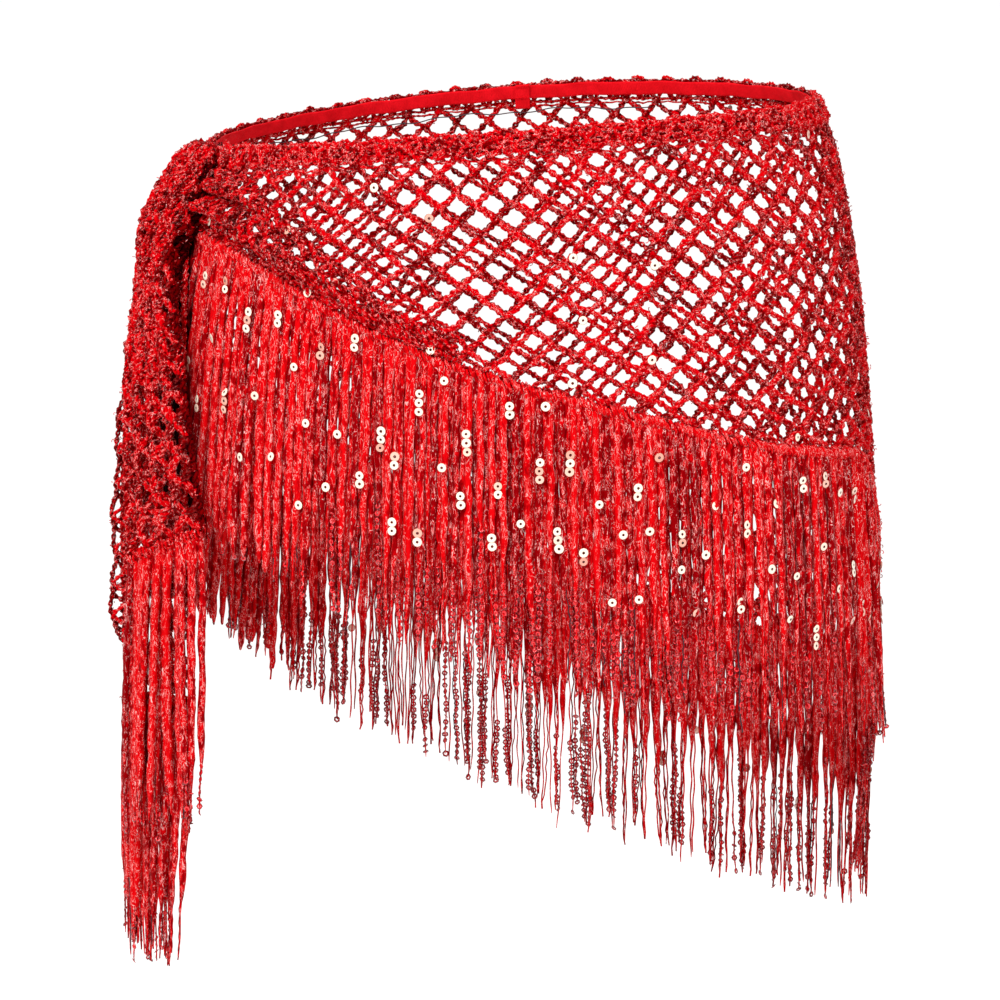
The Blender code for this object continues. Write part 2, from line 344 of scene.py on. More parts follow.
def tubes(paths, out, radii, sides, tone, finish=0, deep=0.0):
    """Closed tubes. Point k of a ring is its path's point + radius·(cos a·beside + sin a·over), a = 2π(k +
    ½) / sides, and a flat cap closes each end. The last argument says how much painted shade each point of a
    path gets where it lies in a groove, from 0 to 1."""
    count, rings = paths.shape[:2]
    _, beside, over, run = frames(paths, out)
    turn = 2 * np.pi * (np.arange(sides) + 0.5) / sides
    spoke = np.cos(turn)[:, None] * beside[:, :, None] + np.sin(turn)[:, None] * over[:, :, None]
    radii = np.broadcast_to(radii, (count, rings))
    points = paths[:, :, None] + radii[:, :, None, None] * spoke
    ring = np.arange(count * rings).reshape(count, rings) * sides
    k = np.arange(sides)
    n = (k + 1) % sides
    a = ring[:, :-1, None]
    b = ring[:, 1:, None]
    walls = np.stack([a + k, a + n, b + n, b + k], -1).reshape(-1, 4)
    first = ring[:, 0, None] + k[::-1]
    last = ring[:, -1, None] + k
    return {
        "points": points.reshape(-1, 3),
        "faces": [walls, first, last],
        "run": np.repeat(run.ravel(), sides),
        "tone": np.repeat(np.broadcast_to(np.reshape(tone, (-1, 1)), (count, rings)).ravel(), sides),
        "spin": np.tile(np.stack([np.cos(turn), np.sin(turn), 0 * turn], -1), (count * rings, 1)),
        "deep": np.repeat(np.broadcast_to(deep, (count, rings)).ravel(), sides),
        "finish": finish,
    }


def two_ply(paths, out, ply, lay, pitch, sides, dice, tone, deep=0.0):
    """Yarns of two plies that wind round their path: ply axis = path + lay·(cos a·beside + sin a·over),
    where a = 2π·run / pitch + start, and the second ply is half a turn on. The plies' radii are a little
    uneven."""
    _, beside, over, run = frames(paths, out)
    start = dice.uniform(0, 2 * np.pi, (len(paths), 1))
    made = []
    for half_turn in (0.0, np.pi):
        a = (2 * np.pi * run / pitch + start + half_turn)[..., None]
        axis = paths + lay * (np.cos(a) * beside + np.sin(a) * over)
        uneven = ply * (1 + RAGGED * dice.normal(size=run.shape))
        made.append(tubes(axis, out, uneven, sides, tone, 0, deep))
    return made


def closed_shell(points, tone, finish):
    """A closed skin of levels of points (rows, columns, 3), each of them round on itself, with a fan to a
    middle point at the first and the last. A level counts as a millimetre of run."""
    rows, columns = points.shape[:2]
    index = np.arange(rows * columns).reshape(rows, columns)
    onward = np.roll(index, -1, axis=1)
    top, bottom = rows * columns, rows * columns + 1
    faces = [
        np.stack([index[1:], onward[1:], onward[:-1], index[:-1]], -1).reshape(-1, 4),
        np.stack([np.full(columns, top), index[0], onward[0]], -1),
        np.stack([np.full(columns, bottom), onward[-1], index[-1]], -1),
    ]
    middles = np.stack([points[0].mean(axis=0), points[-1].mean(axis=0)])
    flat = np.concatenate([points.reshape(-1, 3), middles])
    return {
        "points": flat,
        "faces": faces,
        "run": np.append(np.repeat(np.arange(rows), columns) * 0.001, (0.0, 0.0)),
        "tone": np.full(len(flat), tone),
        "finish": finish,
    }


def swept(paths_by_corner, tone=0.5, finish=0):
    """A closed bar along a path: its corners are given as an array (R, S, 3), S corners in order round each
    section, and a flat cap closes each end."""
    rings, corners = paths_by_corner.shape[:2]
    index = np.arange(rings * corners).reshape(rings, corners)
    onward = np.roll(index, -1, axis=1)
    walls = np.stack([index[:-1], onward[:-1], onward[1:], index[1:]], -1).reshape(-1, 4)
    middle = paths_by_corner.mean(axis=1)
    steps = np.linalg.norm(np.diff(middle, axis=0), axis=-1)
    run = np.concatenate([[0.0], np.cumsum(steps)])
    return {
        "points": paths_by_corner.reshape(-1, 3),
        "faces": [walls, index[:1, ::-1], index[-1:]],
        "run": np.repeat(run, corners),
        "tone": np.full(rings * corners, tone),
        "finish": finish,
    }


def stamped(shape, centres, facing, up, sizes, tone):
    """A small shape set down many times: point = centre + size·(x·across + y·up + z·facing). Its tone is
    its own times the shade of each of the shape's points."""
    points, faces, shade = shape
    facing = facing / np.linalg.norm(facing, axis=-1, keepdims=True)
    across = np.cross(up, facing)
    across /= np.linalg.norm(across, axis=-1, keepdims=True) + 1e-12
    above = np.cross(facing, across)
    x, y, z = points[:, 0, None], points[:, 1, None], points[:, 2, None]
    spread = x * across[:, None] + y * above[:, None] + z * facing[:, None]
    placed = centres[:, None] + sizes[:, None, None] * spread
    base = np.arange(len(centres))[:, None, None] * len(points)
    return {
        "points": placed.reshape(-1, 3),
        "faces": [(base + f[None]).reshape(-1, f.shape[1]) for f in faces],
        "run": np.tile(points[:, 1], len(centres)),
        "tone": (tone[:, None] * shade).ravel(),
        "finish": 0,
    }


def ring_shape(corners, section):
    """A holed disc of radius 1. Its section is closed and is given as rows of radius, height and shade."""
    turn = 2 * np.pi * np.arange(corners) / corners
    rim = np.stack([np.cos(turn), np.sin(turn), np.zeros(corners)], -1)
    circles = [rim * (radius, radius, 0) + (0, 0, height) for radius, height, _ in section]
    shade = np.repeat([row[2] for row in section], corners)
    k = np.arange(corners)
    n = (k + 1) % corners
    starts = np.arange(len(section)) * corners
    faces = [np.stack([a + k, a + n, b + n, b + k], -1) for a, b in zip(starts, np.roll(starts, -1))]
    return np.concatenate(circles), faces, shade


def lump_shape(around, levels):
    """A ball of radius 1: levels of points round a vertical axis, between two poles."""
    height = np.cos(np.pi * (np.arange(levels) + 1) / (levels + 1))
    turn = 2 * np.pi * np.arange(around) / around
    width = np.sqrt(1 - height**2)
    rows = np.stack([
        width[:, None] * np.cos(turn),
        width[:, None] * np.sin(turn),
        np.broadcast_to(height[:, None], (levels, around)),
    ], -1)
    poles = np.array([(0.0, 0.0, 1.0), (0.0, 0.0, -1.0)])
    index = np.arange(levels * around).reshape(levels, around)
    onward = np.roll(index, -1, axis=1)
    top, bottom = levels * around, levels * around + 1
    faces = [
        np.stack([index[1:], onward[1:], onward[:-1], index[:-1]], -1).reshape(-1, 4),
        np.stack([index[0], onward[0], np.full(around, top)], -1),
        np.stack([onward[-1], index[-1], np.full(around, bottom)], -1),
    ]
    return np.concatenate([rows.reshape(-1, 3), poles]), faces, np.ones(levels * around + 2)


def make_piece(name, finishes, parts, stands_for=()):
    """Joins parts into one mesh object that rides on the body. Each point has as attributes the run along
    its yarn in metres, its yarn's tone, how much painted shade it gets where it lies in the groove, and its
    place round the yarn, as a cosine and a sine."""
    points = np.concatenate([p["points"] for p in parts])
    starts = np.cumsum([0] + [len(p["points"]) for p in parts])
    corners, sizes, finish = [], [], []
    for part, start in zip(parts, starts):
        for faces in part["faces"]:
            corners.append((faces + start).ravel())
            sizes.append(np.full(len(faces), faces.shape[1]))
            finish.append(np.full(len(faces), part["finish"]))
    corners = np.concatenate(corners).astype(np.int32)
    sizes = np.concatenate(sizes).astype(np.int32)
    mesh = bpy.data.meshes.new(name)
    mesh.vertices.add(len(points))
    mesh.vertices.foreach_set("co", points.astype(np.float32).ravel())
    mesh.loops.add(len(corners))
    mesh.loops.foreach_set("vertex_index", corners)
    mesh.polygons.add(len(sizes))
    mesh.polygons.foreach_set("loop_start", np.concatenate([[0], np.cumsum(sizes)[:-1]]).astype(np.int32))
    mesh.polygons.foreach_set("material_index", np.concatenate(finish).astype(np.int32))
    mesh.update(calc_edges=True)
    for key, kind, field in (
        ("run", "FLOAT", "value"),
        ("tone", "FLOAT", "value"),
        ("deep", "FLOAT", "value"),
        ("spin", "FLOAT_VECTOR", "vector"),
    ):
        blanks = [np.zeros_like(p["points"]) if key == "spin" else np.zeros(len(p["points"])) for p in parts]
        values = np.concatenate([p.get(key, blank) for p, blank in zip(parts, blanks)])
        mesh.attributes.new(key, kind, "POINT").data.foreach_set(field, values.astype(np.float32).ravel())
    for each in finishes:
        mesh.materials.append(each)
    mesh.shade_smooth()
    made = bpy.data.objects.new(name, mesh)
    bpy.context.scene.collection.objects.link(made)
    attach(made, "root")
    if stands_for:
        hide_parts(*stands_for)
    return made


# Finishes


def colour(code):
    """An sRGB hex colour as linear numbers, with a full alpha."""
    parts = [int(code[i : i + 2], 16) / 255 for i in (1, 3, 5)]
    linear = [c / 12.92 if c <= 0.04045 else ((c + 0.055) / 1.055) ** 2.4 for c in parts]
    return (*linear, 1.0)


def add(tree, kind, inputs=(), **settings):
    """Adds a shader node. inputs gives its sockets a value, or the output that feeds them; stops fills a
    ramp."""
    made = tree.nodes.new("ShaderNode" + kind)
    for key, value in settings.items():
        if key == "stops":
            steps = made.color_ramp.elements
            while len(steps) < len(value):
                steps.new(0.5)
            for step, (position, shade) in zip(steps, value):
                step.position = position
                step.color = shade
        else:
            setattr(made, key, value)
    for key, value in dict(inputs).items():
        if isinstance(value, bpy.types.NodeSocket):
            tree.links.new(value, made.inputs[key])
        else:
            made.inputs[key].default_value = value
    return made


def blank(name):
    """A new material with its node tree and its shader."""
    made = bpy.data.materials.new(name)
    made.use_nodes = True
    return made, made.node_tree, made.node_tree.nodes["Principled BSDF"]


def film_yarn(
    name, light, dark, film, tuft_mm, film_mm, film_share, rough, wind,
    long=1.0, line=(0.80, 0.97), bare=0.49,
):
    """Acrylic chenille or rayon spun with metallised film: matted tufts lighter and darker by the
    millimetre, crossed by thin bright lines of film, whose pale pink colour is a painted glint. Loose curls
    of film are where a distorted noise passes through its middle value. Film wound round the yarn once in
    each length of wind shows where |cos(phase - place round the yarn)| comes between the two values of line,
    with phase = 2π·run / wind, moved on for each yarn and by the noise. Film shows only where the tufts'
    noise is above bare. long draws the pattern out downwards. Yarn in the groove gets painted shade: it is
    darker and has no bright film."""
    made, tree, shader = blank(name)
    object_place = add(tree, "TexCoord").outputs["Object"]
    place = add(tree, "Mapping", {"Vector": object_place, "Scale": (1.0, 1.0, 1 / long)}).outputs[0]
    tuft_noise = {"Vector": place, "Scale": 1000 / tuft_mm, "Detail": 3.0, "Roughness": 0.62}
    tufts = add(tree, "TexNoise", tuft_noise)
    tone = add(tree, "Attribute", attribute_name="tone")
    shift = add(tree, "Math", {0: tone.outputs["Fac"], 1: 0.34, 2: -0.17}, operation="MULTIPLY_ADD")
    even = add(tree, "Math", {0: tufts.outputs["Fac"], 1: shift.outputs[0]}, operation="ADD")
    deep = add(tree, "Attribute", attribute_name="deep")
    # Painted shade: where a point lies in the groove, its colour runs down towards the groove's dark colour
    # and no film lines show.
    level = add(tree, "Math", {0: deep.outputs["Fac"], 1: -0.6, 2: even.outputs[0]}, operation="MULTIPLY_ADD")
    outside_painted_shade = add(tree, "MapRange", {"Value": deep.outputs["Fac"], "From Min": 0.6, "From Max": 0.0})
    reds = ((0.0, GROOVE_PAINTED_SHADE_COLOUR), (0.16, dark), (0.34, dark), (0.52, light))
    stops = [(at, colour(code)) for at, code in reds]
    ground = add(tree, "ValToRGB", {"Fac": level.outputs[0]}, stops=stops)
    film_noise = {"Vector": place, "Scale": 1000 / film_mm, "Detail": 1.0, "Distortion": 1.6}
    wander = add(tree, "TexNoise", film_noise)
    middle = add(tree, "Math", {0: wander.outputs["Fac"], 1: 0.5}, operation="SUBTRACT")
    distance = add(tree, "Math", {0: middle.outputs[0]}, operation="ABSOLUTE")
    loose = add(tree, "MapRange", {"Value": distance.outputs[0], "From Min": film_share, "From Max": 0.0})
    run = add(tree, "Attribute", attribute_name="run")
    spin = add(tree, "Attribute", attribute_name="spin")
    pace = add(tree, "Math", {0: run.outputs["Fac"], 1: 2 * math.pi / wind}, operation="MULTIPLY")
    apart = add(tree, "Math", {0: tone.outputs["Fac"], 1: 50.0, 2: pace.outputs[0]}, operation="MULTIPLY_ADD")
    astray = {0: wander.outputs["Fac"], 1: 9.0, 2: apart.outputs[0]}
    phase = add(tree, "Math", astray, operation="MULTIPLY_ADD")
    cosine = add(tree, "Math", {0: phase.outputs[0]}, operation="COSINE")
    sine = add(tree, "Math", {0: phase.outputs[0]}, operation="SINE")
    helix = add(tree, "CombineXYZ", {"X": cosine.outputs[0], "Y": sine.outputs[0]})
    both = {0: helix.outputs[0], 1: spin.outputs["Vector"]}
    facing = add(tree, "VectorMath", both, operation="DOT_PRODUCT")
    either_side = add(tree, "Math", {0: facing.outputs["Value"]}, operation="ABSOLUTE")
    wound = add(tree, "MapRange", {"Value": either_side.outputs[0], "From Min": line[0], "From Max": line[1]})
    either = add(tree, "Math", {0: loose.outputs[0], 1: wound.outputs[0]}, operation="MAXIMUM")
    patch = add(tree, "MapRange", {"Value": tufts.outputs["Fac"], "From Min": bare, "From Max": bare + 0.06})
    matted = add(tree, "Math", {0: either.outputs[0], 1: patch.outputs[0]}, operation="MULTIPLY")
    curl = add(tree, "Math", {0: matted.outputs[0], 1: outside_painted_shade.outputs[0]}, operation="MULTIPLY")
    # Painted glint: the film lines take the pale pink film colour, which stands for film catching the light.
    shown = add(tree, "Mix", {0: curl.outputs[0], 6: ground.outputs[0], 7: colour(film)}, data_type="RGBA")
    gloss = add(tree, "MapRange", {"Value": curl.outputs[0], "To Min": rough, "To Max": 0.22})
    metal = add(tree, "Math", {0: curl.outputs[0], 1: 0.12}, operation="MULTIPLY")
    fibres = add(tree, "TexNoise", {"Vector": place, "Scale": 1000 / 0.55, "Detail": 2.0})
    height = add(tree, "Math", {0: fibres.outputs["Fac"], 1: tufts.outputs["Fac"]}, operation="ADD")
    bump = add(tree, "Bump", {"Height": height.outputs[0], "Strength": 0.75, "Distance": 0.0006})
    tree.links.new(shown.outputs[2], shader.inputs["Base Color"])
    tree.links.new(gloss.outputs[0], shader.inputs["Roughness"])
    tree.links.new(metal.outputs[0], shader.inputs["Metallic"])
    tree.links.new(bump.outputs[0], shader.inputs["Normal"])
    shader.inputs["Specular Tint"].default_value = colour("#ff3c38")
    shader.inputs["IOR"].default_value = FUZZY_IOR
    return made


def woven_tape(name, rib_mm):
    """Polyester tape woven in fine ribs: dull, even red, with ribs across it."""
    made, tree, shader = blank(name)
    place = add(tree, "TexCoord").outputs["Object"]
    run = add(tree, "Attribute", attribute_name="run")
    turn = add(tree, "Math", {0: run.outputs["Fac"], 1: 2000 * math.pi / rib_mm}, operation="MULTIPLY")
    rib = add(tree, "Math", {0: turn.outputs[0]}, operation="SINE")
    cloudy = add(tree, "TexNoise", {"Vector": place, "Scale": 1000 / 6.0, "Detail": 3.0})
    ground = add(
        tree,
        "ValToRGB",
        {"Fac": cloudy.outputs["Fac"]},
        stops=[(0.3, colour("#cf0d17")), (0.7, colour("#ea1420"))],
    )
    bump = add(tree, "Bump", {"Height": rib.outputs[0], "Strength": 0.35, "Distance": 0.0002})
    tree.links.new(ground.outputs[0], shader.inputs["Base Color"])
    tree.links.new(bump.outputs[0], shader.inputs["Normal"])
    shader.inputs["Roughness"].default_value = 0.62
    shader.inputs["Specular Tint"].default_value = colour("#ff5c58")
    shader.inputs["IOR"].default_value = WOVEN_IOR
    return made


def coated_sequin(name, face, dull, hole, metallic):
    """Stamped plastic film with a bright coating. The tone of a point picks its colour: low at the hole's
    edge, then a duller colour, and the face's own from the middle on. On the cream sequins the low colour is
    painted shade and the duller one a weaker painted glint."""
    made, tree, shader = blank(name)
    tone = add(tree, "Attribute", attribute_name="tone")
    ground = add(
        tree,
        "ValToRGB",
        {"Fac": tone.outputs["Fac"]},
        stops=[(0.0, colour(hole)), (0.25, colour(dull)), (0.55, colour(face)), (1.0, colour(face))],
    )
    place = add(tree, "TexCoord").outputs["Object"]
    dents = add(tree, "TexNoise", {"Vector": place, "Scale": 1000 / 1.6, "Detail": 1.0})
    bump = add(tree, "Bump", {"Height": dents.outputs["Fac"], "Strength": 0.25, "Distance": 0.0003})
    tree.links.new(ground.outputs[0], shader.inputs["Base Color"])
    tree.links.new(bump.outputs[0], shader.inputs["Normal"])
    shader.inputs["Metallic"].default_value = metallic
    shader.inputs["Roughness"].default_value = 0.25
    shader.inputs["Coat Weight"].default_value = 0.6
    shader.inputs["Coat Roughness"].default_value = 0.08
    return made


def plain_matte(name, code, rough, grain_mm, other):
    """A dull even surface, faintly mottled."""
    made, tree, shader = blank(name)
    place = add(tree, "TexCoord").outputs["Object"]
    mottle = add(tree, "TexNoise", {"Vector": place, "Scale": 1000 / grain_mm, "Detail": 2.0})
    ground = add(
        tree,
        "ValToRGB",
        {"Fac": mottle.outputs["Fac"]},
        stops=[(0.3, colour(code)), (0.7, colour(other))],
    )
    tree.links.new(ground.outputs[0], shader.inputs["Base Color"])
    shader.inputs["Roughness"].default_value = rough
    return made


# A fuzzy yarn scatters what falls on it, so it has far less of a gloss than its solid fibre would, at IOR
# 1.5. Woven tape has a little more. The colour is the painted shade of yarn in the groove.
FUZZY_IOR = 1.16
WOVEN_IOR = 1.20
GROOVE_PAINTED_SHADE_COLOUR = "#2c0003"

# Crocheted yarn of the net: a dark, saturated matt red, tufted, and crossed by film lines painted pale pink
# as glints.
NET_YARN = film_yarn(
    "acrylic_chenille_spun_with_metallised_film",
    light="#cc0009", dark="#6e0002", film="#ffc4c0",
    tuft_mm=2.0, film_mm=2.6, film_share=0.024, rough=0.70, wind=0.0092,
)
# Film that has come loose from the yarn: brighter, and nearly all painted glint.
FUZZ = film_yarn(
    "loose_curls_of_metallised_film",
    light="#e4101a", dark="#7a0004", film="#ffd2ce",
    tuft_mm=3.0, film_mm=2.2, film_share=0.060, rough=0.40, wind=0.0060,
)
# Twisted cord: a cleaner red, with long film lines down it, painted pale pink as glints.
CORD = film_yarn(
    "rayon_cord_twisted_with_metallised_film",
    light="#d0050c", dark="#840005", film="#ffc8c4",
    tuft_mm=2.4, film_mm=2.2, film_share=0.022, rough=0.60, wind=0.045,
    long=2.5, line=(0.93, 0.99), bare=0.44,
)
# What shows between the stitches of the band, the headings and the knot, and some of the fringe's second
# strands: darker and nearly without glints. Between the stitches the darkness is painted shade; on the
# strands it is their own maroon.
CORE = film_yarn(
    "maroon_chenille_and_painted_shade_under_the_stitches",
    light="#9c0006", dark="#400001", film="#f07074",
    tuft_mm=2.0, film_mm=2.4, film_share=0.018, rough=0.8, wind=0.0080,
)
# Ribbed tape: dull and even, a lighter red than the yarn. Its ribs are drawn coarse enough to show.
TAPE = woven_tape("polyester_tape_woven_in_fine_ribs", rib_mm=0.9)
# Lacquered sequins: a hard bright red with small highlights.
RED_SEQUIN = coated_sequin("stamped_pet_sequin_lacquered_red", "#f2202a", "#b3101c", "#4c040a", 0.35)
# Sequins painted cream or peach as glints, standing for sequins that catch the light, with a hole and rim
# painted dark as shade.
GLINT_PAINTED_SEQUIN = coated_sequin("stamped_pet_sequin_painted_cream_as_a_glint", "#f3e4cf", "#e08a74", "#2c1410", 0.0)
# Sewing thread: a thin dull line, nearly black.
DARK_THREAD = plain_matte("polyester_sewing_thread_dyed_dark", "#2a0d1c", 0.5, 3.0, "#3a1220")
# Seamless paper: an even off-white without a shine.
PAPER = plain_matte("matte_studio_paper", "#f7f6f5", 0.95, 400.0, "#f9f8f7")


# The net

# The length run round the body from one side of the knot to the other, for each of many angles.
RUN_ANGLES = np.linspace(-164.0, 192.0, 3561)
RUN_STEPS = np.diff(body_point(RUN_ANGLES, REFERENCE_DROP), axis=0)
RUN_METRES = np.concatenate([[0.0], np.cumsum(np.hypot(RUN_STEPS[:, 0], RUN_STEPS[:, 1]))])


def net_angle(flat):
    """The angle of a place (i, j) of the net, in half meshes along the waist and down. Its columns lean
    towards the long point, by LEAN·t·exp(-t²) for each metre down, with t the angle from the point in
    LEAN_SPREADs."""
    angle = np.interp(flat[..., 0] * HALF_ACROSS, RUN_METRES, RUN_ANGLES)
    t = (LEAN_CENTRE - angle) / LEAN_SPREAD
    down = np.maximum(flat[..., 1], 0) * HALF_DOWN
    return angle + LEAN * t * np.exp(-t * t) * down / arc_rate(angle, REFERENCE_DROP)


def net_depths(angle):
    """The net's worn depth at an angle, and its cut depth, which is more where the knot gathers it."""
    worn = hem_drop(angle) - NET_TOP
    return worn, worn * (1 + GATHER * ease(1 - from_knot(angle) / GATHER_REACH))


def net_place(flat, lift=0.0):
    """Half meshes (i, j) to points on the worn net: drop = top + worn·(g·x + (1 - g)·x²), with x the share
    of the cut depth and g = cut / worn, so that the meshes close up towards a gathered hem. Row -1 is the
    band's edge."""
    angle = net_angle(flat)
    worn, cut = net_depths(angle)
    g = cut / worn
    x = np.maximum(flat[..., 1], 0) * HALF_DOWN / cut
    share = np.minimum(g * x + (1 - g) * x * x, 1.03)
    above = np.minimum(flat[..., 1], 0)
    drop = NET_TOP + worn * share + above * (NET_TOP - BAND_EDGE)
    return body_point(angle, drop, net_offset(angle, share) + lift), body_out(angle)


def lattice(first, last, rows):
    """The two ends of each yarn of a diamond net: from every crossing (i, j) with i + j even, one runs to
    (i + 1, j + 1) and one to (i - 1, j + 1)."""
    i, j = np.meshgrid(np.arange(first, last + 1), np.arange(rows), indexing="ij")
    even = (i + j) % 2 == 0
    i, j = i[even], j[even]
    start = np.stack([np.tile(i, 2), np.tile(j, 2)], -1).astype(float)
    end = start + np.stack([np.repeat([1, -1], len(i)), np.ones(2 * len(i))], -1)
    return start, end


def clipped(start, end, beyond):
    """The yarns with a share of them where beyond is below 0, and the shares, low to high, that lie
    there."""
    a, b = beyond(start), beyond(end)
    cut = a / np.where(np.abs(a - b) < 1e-9, 1.0, a - b)
    low = np.where((a > 0) & (b <= 0), cut, 0.0)
    high = np.where((a <= 0) & (b > 0), cut, 1.0)
    keep = ((a <= 0) | (b <= 0)) & (high - low > 0.12)
    return start[keep], end[keep], low[keep], high[keep]


def yarn_paths(start, end, low, high, rings, place, dice, bow=0.07):
    """Points along each yarn: straight from crossing to crossing in the flat cloth, bowed a little to one
    side."""
    t = low[:, None] + (high - low)[:, None] * np.linspace(0, 1, rings)
    way = end - start
    flat = start[:, None] + way[:, None] * t[..., None]
    aside = np.stack([way[:, 1], -way[:, 0]], -1)
    sag = bow * dice.normal(size=(len(start), 1)) * np.sin(np.pi * t)
    flat = flat + sag[..., None] * aside[:, None]
    return place(flat)


def loose_curls(paths, out, count, dice, finish, radius=CURL_RADIUS):
    """Short curled fibres on the yarns: centre line = root + r·(sin a·way + (1 - cos a)·aside), with a from
    0 to between half a turn and a whole one, and r near a millimetre."""
    pick = dice.integers(0, len(paths), count)
    ring = dice.integers(1, paths.shape[1] - 1, count)
    side = dice.choice([-1, 1], (count, 1))
    root = paths[pick, ring] + 0.0010 * side * out[pick, ring] + dice.normal(size=(count, 3)) * 0.0006
    way = dice.normal(size=(count, 3))
    way /= np.linalg.norm(way, axis=-1, keepdims=True)
    aside = np.cross(way, dice.normal(size=(count, 3)))
    aside /= np.linalg.norm(aside, axis=-1, keepdims=True)
    a = np.linspace(0, 1, 4)[None, :, None] * dice.uniform(2.4, 4.4, (count, 1, 1))
    r = dice.uniform(0.0005, 0.0011, (count, 1, 1))
    path = root[:, None] + r * (np.sin(a) * way[:, None] + (1 - np.cos(a)) * aside[:, None])
    guide = np.broadcast_to(np.cross(way, aside)[:, None], path.shape)
    return tubes(path, guide, radius, 3, dice.uniform(0, 1, count), finish)


def path_groove(paths):
    """The groove's depth at points in space, for their painted shade: their angle and drop are read back from
    where they lie.
    """
    angle = np.degrees(np.arctan2(paths[..., 1] / BODY_DEPTH_SHARE, paths[..., 0]))
    return groove(angle, BAND_RISE - BAND_TILT - paths[..., 2])


def net_half(side, rings, sides, curls, seed):
    """One half of the net. Its yarns are one piece, and the lumps where they cross and the loose curls
    another. Gives the first, and its yarns' paths."""
    dice = np.random.default_rng(seed)
    last = int(RUN_METRES[-1] / HALF_ACROSS)
    start, end = lattice(0, last, 64)
    middle = net_angle((start + end) / 2)
    half = (middle <= TIP_SPLIT_ANGLE) if side == "front" else (middle > TIP_SPLIT_ANGLE)

    def below_hem(flat):
        return flat[..., 1] * HALF_DOWN - net_depths(net_angle(flat))[1]

    start, end, low, high = clipped(start[half], end[half], below_hem)
    paths, out = yarn_paths(start, end, low, high, rings, net_place, dice)
    tone = dice.uniform(0, 1, len(paths))
    # Painted shade on the front half's yarns where they lie in the groove beside the knot.
    deep = path_groove(paths) if side == "front" else 0.0
    parts = two_ply(paths, out, PLY_RADIUS, LAY_RADIUS, YARN_PITCH, sides, dice, tone, deep)
    net = make_piece(f"net_{side}", [NET_YARN], parts, [f"{side}_net"])
    crossing = np.unique(start, axis=0)
    centres, facing = net_place(crossing)
    up = np.array([0.0, 0.0, 1.0]) + dice.normal(size=facing.shape) * 0.5
    points, faces, shade = lump_shape(6, 2)
    sizes = CROSSING_RADIUS * dice.uniform(0.85, 1.25, len(centres))
    lump = (points * (1.25, 0.95, 0.8), faces, shade)
    lumps = stamped(lump, centres, facing, up, sizes, dice.uniform(0, 1, len(centres)))
    fuzz = loose_curls(paths, out, curls, dice, 1, 0.00023)
    make_piece(f"net_crossings_{side}", [NET_YARN, FUZZ], [lumps, fuzz])
    return net, paths


def gathers(dice):
    """The net bunched up along the hem beside the knot, as a roll that thins out towards the front: i runs
    along the hem and j up from it, over a width that goes from 40 to 10 mm and never past the band."""
    long, wide = 36, 7
    start, end = lattice(0, long, wide)

    def place(flat):
        a = np.clip(flat[..., 0] / long, 0, 1)
        b = flat[..., 1] / wide
        angle = mix(-165.0, -99.0, a)
        hem = hem_drop(angle)
        width = np.minimum(mix(0.040, 0.010, ease(a)), hem - NET_TOP)
        drop = hem - 0.0005 - width * b
        share = (drop - NET_TOP) / (hem - NET_TOP)
        roll = mix(0.0040, 0.0008, a) * np.sin(np.pi * (0.12 + 0.80 * b))
        roll = roll + 0.0012 * np.cos(5 * np.pi * b) * (1 - a)
        return body_point(angle, drop, net_offset(angle, share) + 0.0012 + roll), body_out(angle)

    every = np.ones(len(start))
    paths, out = yarn_paths(start, end, 0 * every, every, 6, place, dice, 0.12)
    tone = dice.uniform(0, 1, len(paths))
    # Painted shade on the gathered yarns where they lie in the groove beside the knot.
    yarns = two_ply(paths, out, PLY_RADIUS, LAY_RADIUS, YARN_PITCH, 3, dice, tone, path_groove(paths))
    return [*yarns, loose_curls(paths, out, 350, dice, 1)]


net_front, front_paths = net_half("front", 7, 4, 1800, 11)
net_back, back_paths = net_half("back", 6, 3, 1100, 12)
make_piece("net_gathers", [NET_YARN, FUZZ], gathers(np.random.default_rng(13)))


# The casing: open meshes turned over the tape, with rows of stitches over them


def band_row(band, drop, offset, ply, rings, wobble, dice):
    """A yarn along the band, at an offset and at a drop that is a number or a function of the angle. It
    wanders up and down by the sum of four slow sines."""
    tone = dice.uniform()
    angle = np.linspace(*band, rings)
    drop = drop(angle) if callable(drop) else np.full(rings, drop)
    phase = dice.uniform(0, 2 * np.pi, 4)
    wave = sum(np.sin(np.radians(angle) * rate + p) for rate, p in zip((19, 43, 97, 173), phase)) / 2.4
    path = body_point(angle, drop + wobble * wave, offset)[None]
    return two_ply(path, body_out(angle)[None], ply, ply * 0.8, 0.0056, 4, dice, tone)


def mesh_at(angle):
    """The last whole half mesh up to an angle, counted from the knot."""
    return int(np.interp(angle, RUN_ANGLES, RUN_METRES) / HALF_ACROSS)


def turned_meshes(first, last, offset, shift, dice):
    """The half meshes from the net's top row up to the band's edge, as one layer of the casing."""
    i = np.arange(first, last + 1)
    i = i[i % 2 == 0].astype(float) + shift
    start = np.stack([np.tile(i, 2), np.zeros(2 * len(i))], -1)
    end = start + np.stack([np.repeat([1.0, -1.0], len(i)), -np.ones(2 * len(i))], -1)
    every = np.ones(len(start))
    paths, out = yarn_paths(start, end, 0 * every, every, 6, lambda flat: net_place(flat, offset), dice)
    tone = dice.uniform(0, 1, len(paths))
    return two_ply(paths, out, PLY_RADIUS * 0.9, LAY_RADIUS * 0.9, YARN_PITCH, 4, dice, tone)


